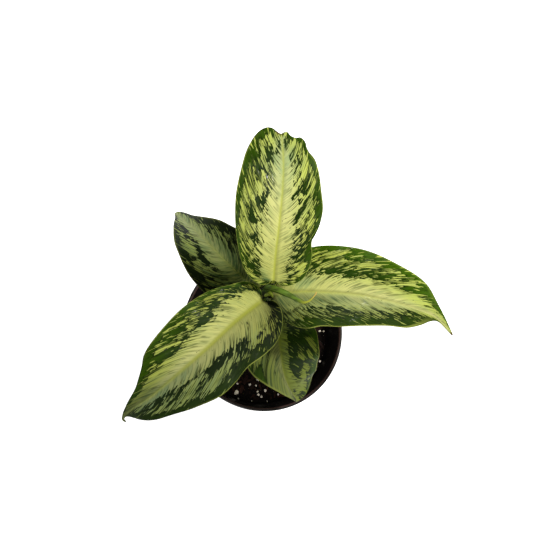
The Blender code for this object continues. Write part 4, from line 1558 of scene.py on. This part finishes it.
def half_fields(leaf, blade, number, half, row, column):
    """What the finish needs to know at each point of a half: five fields of three numbers."""
    sign, key = HALVES[half]
    along, across = blade.flat(row, column, sign)
    out = np.abs(across)
    share = along / blade.length
    width = blade.width(row, sign)
    vein_rise = blade.flat(row, np.ones_like(row), sign)[0] - blade.length * row**VEIN_START
    kinds = ("patches", "painted_shades", "painted_sheens", "painted_shadow", "dead")
    patches = {kind: np.array(leaf.get(kind + "_" + key, ())) / 100 for kind in kinds}
    strength, band_width, fade, start = leaf["rib"]
    band = strength * np.exp(-((out / band_width) ** 2)) * np.exp(-((share / fade) ** 2))
    band = band * ease((along - start) / RIB_RISE)
    # Painted light and shade: each half's painted brightness, blended across the midrib and lowered
    # under painted shadow
    painted_light, other = leaf["painted_brightness"][half], leaf["painted_brightness"][1 - half]
    painted_light = painted_light + (other - painted_light) * 0.5 * np.exp(-((out / MIDRIB_BLEND) ** 2))
    for patch in patches["painted_shadow"]:
        painted_light = painted_light * (1 - patch[-1] * bell(patch, row, column))
    columns = {
        "flow": (
            row * blade.margin_lengths[sign],
            column * np.hypot(width, vein_rise),
            PATTERN_STEP * (2 * number + (sign > 0)),
        ),
        "marks": (
            zone_value(leaf["zones_" + key], patches["patches"], row, column),
            width * (1 - column),
            share,
        ),
        "tones": (strongest(patches["painted_shades"], row, column), band, column),
        "painted_light_and_dead": (
            painted_light,
            strongest(patches["dead"], row, column),
            leaf.get("lime", (0.0, 0.0))[half],
        ),
        "haze": (
            strongest(patches["painted_sheens"], row, column),
            leaf["deep"][half],
            leaf["edge"][half] * ease((leaf["edge"][2] - row) / EDGE_FADE),
        ),
    }
    return {title: stacked(*values) for title, values in columns.items()}


def across_midrib(left, right):
    """The values of both halves, from the left margin to the right one."""
    return np.concatenate([left[:, ::-1], right[:, 1:]], axis=1)


def blade_rings(leaf, blade, number):
    """Rings of the blade, and what its finish needs to know at each of their points."""
    rows = TIP_ROW * (1 - (1 - np.linspace(0, 1, BLADE_ROWS)) ** ROW_CROWDING)
    even = np.linspace(0, 1, HALF_COLUMNS + 1)
    crowded = 0.5 - 0.5 * np.cos(math.pi * even)
    columns = COLUMN_CROWDING * crowded + (1 - COLUMN_CROWDING) * even
    row, column = np.meshgrid(rows, columns, indexing="ij")
    faces = [half_faces(blade, number, sign, row, column) for sign, _ in HALVES]
    upper, lower = (across_midrib(*sides) for sides in zip(*faces))
    fields = {}
    left, right = (half_fields(leaf, blade, number, half, row, column) for half in (0, 1))
    for title in left:
        field = across_midrib(left[title], right[title])
        fields[title] = np.concatenate([field, field[:, ::-1]], axis=1)
    return np.concatenate([upper, lower[:, ::-1]], axis=1), fields


def section_shares():
    """Places across a stalk's section, -1 to 1, as many as across a blade."""
    return np.linspace(-1, 1, 2 * HALF_COLUMNS + 1)


def round_section():
    """Stalk section as (sideways, outward) pairs, outward counted from the side at the cane."""
    radius = STALK_RADIUS
    shares = section_shares()
    angle = math.pi / 2 * (1 - 1 / len(shares)) * shares
    groove = STALK_GROOVE * radius * np.cos(angle) ** 6
    inner = stacked(-radius * np.sin(angle), radius - radius * np.cos(angle) + groove)
    outer = stacked(-radius * np.sin(angle), radius + radius * np.cos(angle))
    return np.vstack([inner, outer[::-1]])


def sheath_section(half_width):
    """Section of the thin sheath, laid out flat, in the same order as round_section."""
    shares = section_shares()
    wall = SHEATH_EDGE + (SHEATH_WALL - SHEATH_EDGE) * (1 - shares * shares)
    power, least = SHEATH_ROUNDING
    wall = wall * np.sqrt(np.clip(1 - np.abs(shares) ** power, least, 1))
    inner = stacked(-half_width * shares, 0.0)
    outer = stacked(-half_width * shares, wall)
    return np.vstack([inner, outer[::-1]])


def stalk_places(leaf, blade):
    """Points that a leaf's stalk runs through, and the point under the blade where it ends."""
    node, azimuth = leaf["node"]
    hug = cane_radius(node) + SHEATH_GAP + STALK_RADIUS
    collar_top = node + COLLAR_HEIGHT
    places = [on_axis(height) + hug * heading(azimuth) for height in (node, collar_top)]
    if leaf is not NORTH:
        # Only the youngest leaf's sheath lies on the rolled leaf, and the others clear a sheath
        clear = hug + SHEATH_WALL + GAP
        places.append(on_axis(collar_top + COLLAR_HEIGHT) + clear * heading(azimuth))
    places += [on_axis(height) + out * heading(angle) for height, out, angle in leaf["stalk"]]
    base, ahead, _, up = (value[0] for value in blade.frame(np.array([0.0])))
    under = base - STALK_SINK * STALK_RADIUS * up
    places += [
        under - ELBOW * (ELBOW_LEAN * ahead + ELBOW_DROP * UP),
        under,
        under + ELBOW_RUN * ahead,
    ]
    return places, under


def stalk_rings(leaf, blade):
    """Rings from the sheath's foot on the cane up to just under the blade, and their growth."""
    places, under = stalk_places(leaf, blade)
    path, length = smooth_path(places, STALK_STEPS)
    directions = tangents(path)
    reach = np.linspace(0, length, len(path))
    end = reach[np.argmin(np.linalg.norm(path - under, axis=1))] - ELBOW
    left = blade.frame(np.array([0.0]))[2][0]
    wide = SHEATH_REACH * (cane_radius(leaf["node"][0]) + SHEATH_GAP)
    thin, full = sheath_section(wide), round_section()
    rings, growth = [], []
    around = np.concatenate([section_shares(), section_shares()[::-1] + 2.0])
    for s in [0] + list(np.linspace(COLLAR_HEIGHT, end, STALK_RINGS)):
        centre = sample(s, reach, path)
        fade = ease((s - COLLAR_HEIGHT) / leaf["sheath"])
        side, out = (thin + (full - thin) * fade).T[:, :, None]
        if fade < 1:
            axis = on_axis(centre[2])
            away = centre - axis
            near = np.linalg.norm(away) - STALK_RADIUS
            facing = math.degrees(math.atan2(away[1], away[0]))
            ring = axis + (near + out) * heading(facing + np.degrees(side[:, 0] / near))
        else:
            direction = unit(sample(s, reach, directions))
            across = unit(left - np.dot(left, direction) * direction)
            upward = np.cross(direction, across)
            ring = centre + side * across + (STALK_RADIUS - out) * upward
        rings.append(ring)
        growth.append(stacked(s, around * FLECK_STEP, s / end))
    return np.array(rings), np.array(growth)


def leaf_finish():
    """Leaf: a cream centre streaked along its veins into a dark green margin, with painted light.
    """
    leaf = settings().leaf
    made = Finish("open_leaf_blade")
    v, u, seed = made.field("flow")
    pale, from_margin, along = made.field("marks")
    painted_shade, rib, column = made.field("tones")
    painted_light, dead, lime = made.field("painted_light_and_dead")
    painted_sheen, deep, pale_edge = made.field("haze")

    def streaks(across, outward, shift, detail, roughness):
        """Noise that is drawn out along the side veins."""
        place = made.vector(v * across, u * outward, seed + shift)
        return made.noise(place, 1.0, detail, roughness)

    # Blotches lean across the veins, and fine teeth along the veins fray their edges
    comb = streaks(0.9, 0.09, 0.0, 2.0, 0.6)
    frayed = u + (comb - 0.5) * 9.0
    over = v * 0.64 + frayed * 0.77
    beside = v * 0.77 - frayed * 0.64
    blotch = made.noise(made.vector(over * 0.31, beside * 0.19, seed + 23.0), 1.0, 2.0, 0.55)
    mottle = (blotch - 0.5) * 1.5 + (comb - 0.5) * 1.7
    # Under the grey-green painted shade the cream spreads, so that the painted shade lies over it
    field = pale + painted_shade * 0.35 + mottle * (1.0 - lime * 0.55)
    cream = made.smooth(field, 0.475, 0.525)
    # A few pale dashes stand alone in the dark green
    dash = streaks(0.55, 0.20, 31.0, 0.0, 0.5)
    cream = made.clamp(cream + made.smooth(dash + (pale - 0.2) * 0.15, 0.665, 0.70))
    # Fine dark lines follow the veins through the mottled cream, and fade in and out
    hair = streaks(0.52, 0.028, 41.0, 1.0, 0.5)
    ridge = made.math("ABSOLUTE", hair - 0.5)
    fading = streaks(0.16, 0.10, 47.0, 1.0, 0.5)
    where = made.smooth(pale, 1.08, 0.80) * 0.8
    where = where + made.smooth(column, 0.05, 0.4) * made.smooth(pale, 1.3, 1.0) * 0.25
    lines = made.smooth(ridge, 0.060, 0.026) * made.smooth(fading, 0.32, 0.48) * where
    # The cream: yellower at the base and the margin, with a soft grey-green shade along the veins
    soft = made.smooth(streaks(0.42, 0.05, 51.0, 3.0, 0.6), 0.40, 0.68)
    light = made.mix(made.smooth(column, 0.2, 0.8), leaf.cream, leaf.cream_outer)
    light = made.mix(made.smooth(along, 0.55, 0.0) * 0.5, light, leaf.midrib)
    light = made.mix(lime, light, leaf.lime)
    grey = soft * (0.32 + made.smooth(column, 0.05, 0.35) * 0.25) * (1.0 - lime * 0.7)
    light = made.mix(grey, light, leaf.grey)
    # Pale grey-green painted sheen, then soft grey-green painted shade over the cream
    light = made.mix(made.clamp(painted_sheen * (0.8 + (soft - 0.5) * 0.5)), light, leaf.painted_sheen)
    light = made.mix(made.clamp(painted_shade * (0.5 + soft)), light, leaf.painted_shade)
    light = made.mix(made.clamp(lines) * 0.85, light, leaf.green)
    # The dark green: deeper beside the cream, lighter towards the margin
    shade = streaks(0.5, 0.12, 61.0, 2.0, 0.5)
    beside_cream = made.smooth(field, 0.20, 0.42)
    outer = made.smooth(column, 0.55, 1.0) * 0.8 + (shade - 0.5) * 1.2 - beside_cream * 0.6
    green = made.mix(made.clamp(outer), leaf.green, leaf.green_outer)
    # Painted light and shade: each half's own level of dark green
    green = made.times(green, deep * (1.05 - beside_cream * 0.25))
    colour = made.mix(cream, green, light)
    # Where the painted sheen lies, the dark green greys a little too
    colour = made.mix(painted_sheen * 0.14, colour, leaf.painted_shade)
    colour = made.mix(rib, colour, leaf.midrib)
    edge = made.smooth(from_margin, 0.55, 0.20)
    colour = made.mix(edge * pale_edge, colour, leaf.cream_outer)
    # Painted light and shade: the half's colours are scaled by its painted brightness; dry tips
    # turn brown
    colour = made.mix(dead, made.times(colour, painted_light), leaf.dead)
    # Glossier spots on the leaves in the light
    glaze = streaks(0.45, 0.30, 71.0, 1.0, 0.5)
    glints = made.smooth(glaze, 0.60, 0.66) * made.smooth(painted_light, 0.4, 0.6)
    sheen = 0.46 + (shade - 0.5) * 0.2 + (1.0 - painted_light) * 0.22 - glints * 0.32
    return made.finish({
        "Base Color": colour,
        "Roughness": made.clamp(sheen),
        "Specular IOR Level": 0.065,
        "Normal": made.bump(comb * 0.05 - lines * 0.04, 0.8),
    })


def stalk_finish():
    """Pale green ribbed stalk, with faint darker flecks and painted shade towards its top under the
    blade.
    """
    leaf = settings().leaf
    made = Finish("open_leaf_stalk")
    s, around, share = made.field("growth")
    ribs = made.noise(made.vector(around * 1.3, s * 0.05), 1.0, 3.0, 0.6)
    flecks = made.noise(made.vector(around * 0.8, s * 0.16, 9.0), 1.0, 3.0, 0.6)
    dark = sum_of(0.45, leaf.stalk, 0.3, leaf.green)
    colour = made.mix(made.smooth(ribs, 0.35, 0.65), dark, leaf.stalk)
    colour = made.mix(made.smooth(flecks, 0.56, 0.66) * 0.5, colour, leaf.green_outer)
    colour = made.mix(made.smooth(share, 0.9, 1.0) * 0.35, colour, leaf.midrib)
    # Painted shade: the stalk darkens towards its top, under the blade, where the crown lies in
    # deep shade
    colour = made.times(colour, 1.0 - made.smooth(share, 0.78, 0.98) * 0.7)
    return made.finish({
        "Base Color": colour,
        "Roughness": made.clamp(0.32 + flecks * 0.2),
        "Normal": made.bump(ribs * 0.22 + flecks * 0.05, 0.8),
    })


def make_leaf(leaf, number, finishes):
    """Makes a leaf as one piece: the stalk's rings run on into the blade's."""
    blade = Blade(leaf)
    stalk, growth = stalk_rings(leaf, blade)
    rings, blade_fields = blade_rings(leaf, blade, number)
    tip, normal = (value[0] for value in blade.place(np.array([blade.length]), np.array([0.0])))
    points, faces = skin(np.concatenate([stalk, rings]), tip - TIP_DROP * normal)
    count = rings.shape[1]
    stalk_points = len(stalk) * count
    fields = {}
    for title, field in blade_fields.items():
        start = np.repeat(field[:1], len(stalk), axis=0)
        whole = np.concatenate([start, field]).reshape(-1, 3)
        fields[title] = np.vstack([whole, field[-1, :1]])
    whole = np.concatenate([growth, np.repeat(growth[-1:], len(rings), axis=0)]).reshape(-1, 3)
    fields["growth"] = np.vstack([whole, growth[-1, :1]])
    picks = [1 if min(face) < stalk_points - count else 0 for face in faces]
    add_piece(
        "open_leaf_" + leaf["name"], points, facing_out(points, faces), finishes,
        "leaf_" + leaf["name"], picks, fields,
    )


class PLANT_OT_open_leaves(bpy.types.Operator):
    """Make the five open leaves, each with its blade, midrib, stalk and sheath"""

    bl_idname = "dieffenbachia.open_leaves"
    bl_label = "Open leaves"

    def execute(self, context):
        finishes = [leaf_finish(), stalk_finish()]
        for number, leaf in enumerate(LEAVES):
            make_leaf(leaf, number, finishes)
        return {"FINISHED"}


# Stage

CAMERA_EYE = (-0.1518202, -0.1296675, 0.9553942)
CAMERA_BACK = (-0.17188, -0.19585, 0.96545)
LENS = 85
SENSOR_WIDTH = 36
LIGHT_DISTANCE = 1.8
LIGHT_AIM = (0, 0, 0.18)
LIGHT_COLOUR = (1.0, 0.965, 0.90)
ROOM_COLOUR = (0.98, 0.98, 0.95, 1.0)
FLOOR_RADIUS = 12.0
FLOOR_SIDES = 128
FLOOR_DROP = 0.0004
FLOOR_GLOW = 0.92

# Azimuth, height above the floor in degrees, and size of each lamp
KEY_LIGHT = (32.0, 57.0, 0.22)
SIDE_LIGHT = (-95.0, 63.0, 0.60)


def aim(obj, place, back):
    """Puts an object at a place, with its local Z axis along back and its X axis level."""
    back = Vector(back).normalized()
    right = Vector((back.z, 0, -back.x)).normalized()
    up = back.cross(right)
    turn = Matrix((right, up, back)).transposed().to_4x4()
    obj.matrix_world = Matrix.Translation(place) @ turn


def add_light(name, azimuth, height, size, strength):
    light = bpy.data.lights.new(name, "AREA")
    light.shape = "DISK"
    light.size = size
    light.color = LIGHT_COLOUR
    light.energy = math.pi**2 * LIGHT_DISTANCE**2 * strength
    azimuth, height = math.radians(azimuth), math.radians(height)
    away = Vector((
        math.cos(azimuth) * math.cos(height), math.sin(azimuth) * math.cos(height), math.sin(height)
    ))
    aim(linked(name, light), Vector(LIGHT_AIM) + LIGHT_DISTANCE * away, away)


def add_camera():
    data = bpy.data.cameras.new("camera")
    data.lens = LENS
    data.sensor_width = SENSOR_WIDTH
    data.clip_start = 0.05
    camera = linked("camera", data)
    aim(camera, CAMERA_EYE, CAMERA_BACK)
    bpy.context.scene.camera = camera


def floor_finish():
    stage = settings().stage
    made = Finish("floor_paper")
    tooth = made.noise(made.place(), 0.8, 3.0, 0.6)
    return made.finish({
        "Base Color": (*stage.floor, 1.0),
        "Roughness": made.clamp(0.85 + tooth * 0.1),
        "Specular IOR Level": 0.1,
        "Emission Color": (1.0, 1.0, 1.0, 1.0),
        "Emission Strength": FLOOR_GLOW,
    })


class PLANT_OT_stage(bpy.types.Operator):
    """Make the plain pale floor, the soft lights and the camera"""

    bl_idname = "dieffenbachia.stage"
    bl_label = "Stage"

    def execute(self, context):
        bm = bmesh.new()
        bmesh.ops.create_circle(bm, cap_ends=True, segments=FLOOR_SIDES, radius=FLOOR_RADIUS)
        floor = object_of("floor", bm)
        floor.data.materials.append(floor_finish())
        floor.location = (0, 0, -FLOOR_DROP)
        add_light("key_light", *KEY_LIGHT, settings().stage.key)
        add_light("side_light", *SIDE_LIGHT, settings().stage.side)
        add_camera()
        world = bpy.data.worlds.new("soft_room")
        world.use_nodes = True
        ground = world.node_tree.nodes["Background"]
        ground.inputs["Color"].default_value = ROOM_COLOUR
        ground.inputs["Strength"].default_value = settings().stage.fill
        context.scene.world = world
        context.scene.view_settings.view_transform = "Standard"
        return {"FINISHED"}


class PLANT_PT_panel(bpy.types.Panel):
    """Lists the steps that build the potted plant"""

    bl_label = "Potted plant"
    bl_idname = "PLANT_PT_panel"
    bl_space_type = "VIEW_3D"
    bl_region_type = "UI"
    bl_category = "Potted plant"

    def draw(self, context):
        column = self.layout.column()
        for step in STEPS:
            column.operator(step.bl_idname, text=step.bl_label)


STEPS = (
    PLANT_OT_stage,
    PLANT_OT_pot,
    PLANT_OT_soil,
    PLANT_OT_grains,
    PLANT_OT_cane,
    PLANT_OT_new_leaf,
    PLANT_OT_open_leaves,
)
GROUPS = (PotSettings, SoilSettings, StemSettings, LeafSettings, StageSettings, PlantSettings)
CLASSES = (*GROUPS, *STEPS, PLANT_PT_panel)


def register():
    for cls in CLASSES:
        bpy.utils.register_class(cls)
    bpy.types.Scene.potted_dieffenbachia = group_property(
        PlantSettings, "Potted plant", "Sizes and colours of the plant"
    )


def unregister():
    del bpy.types.Scene.potted_dieffenbachia
    for cls in reversed(CLASSES):
        bpy.utils.unregister_class(cls)


def main():
    register()
    bpy.ops.dieffenbachia.stage()
    bpy.ops.dieffenbachia.pot()
    bpy.ops.dieffenbachia.soil()
    bpy.ops.dieffenbachia.grains()
    bpy.ops.dieffenbachia.cane()
    bpy.ops.dieffenbachia.new_leaf()
    bpy.ops.dieffenbachia.open_leaves()


if __name__ == "__main__":
    main()
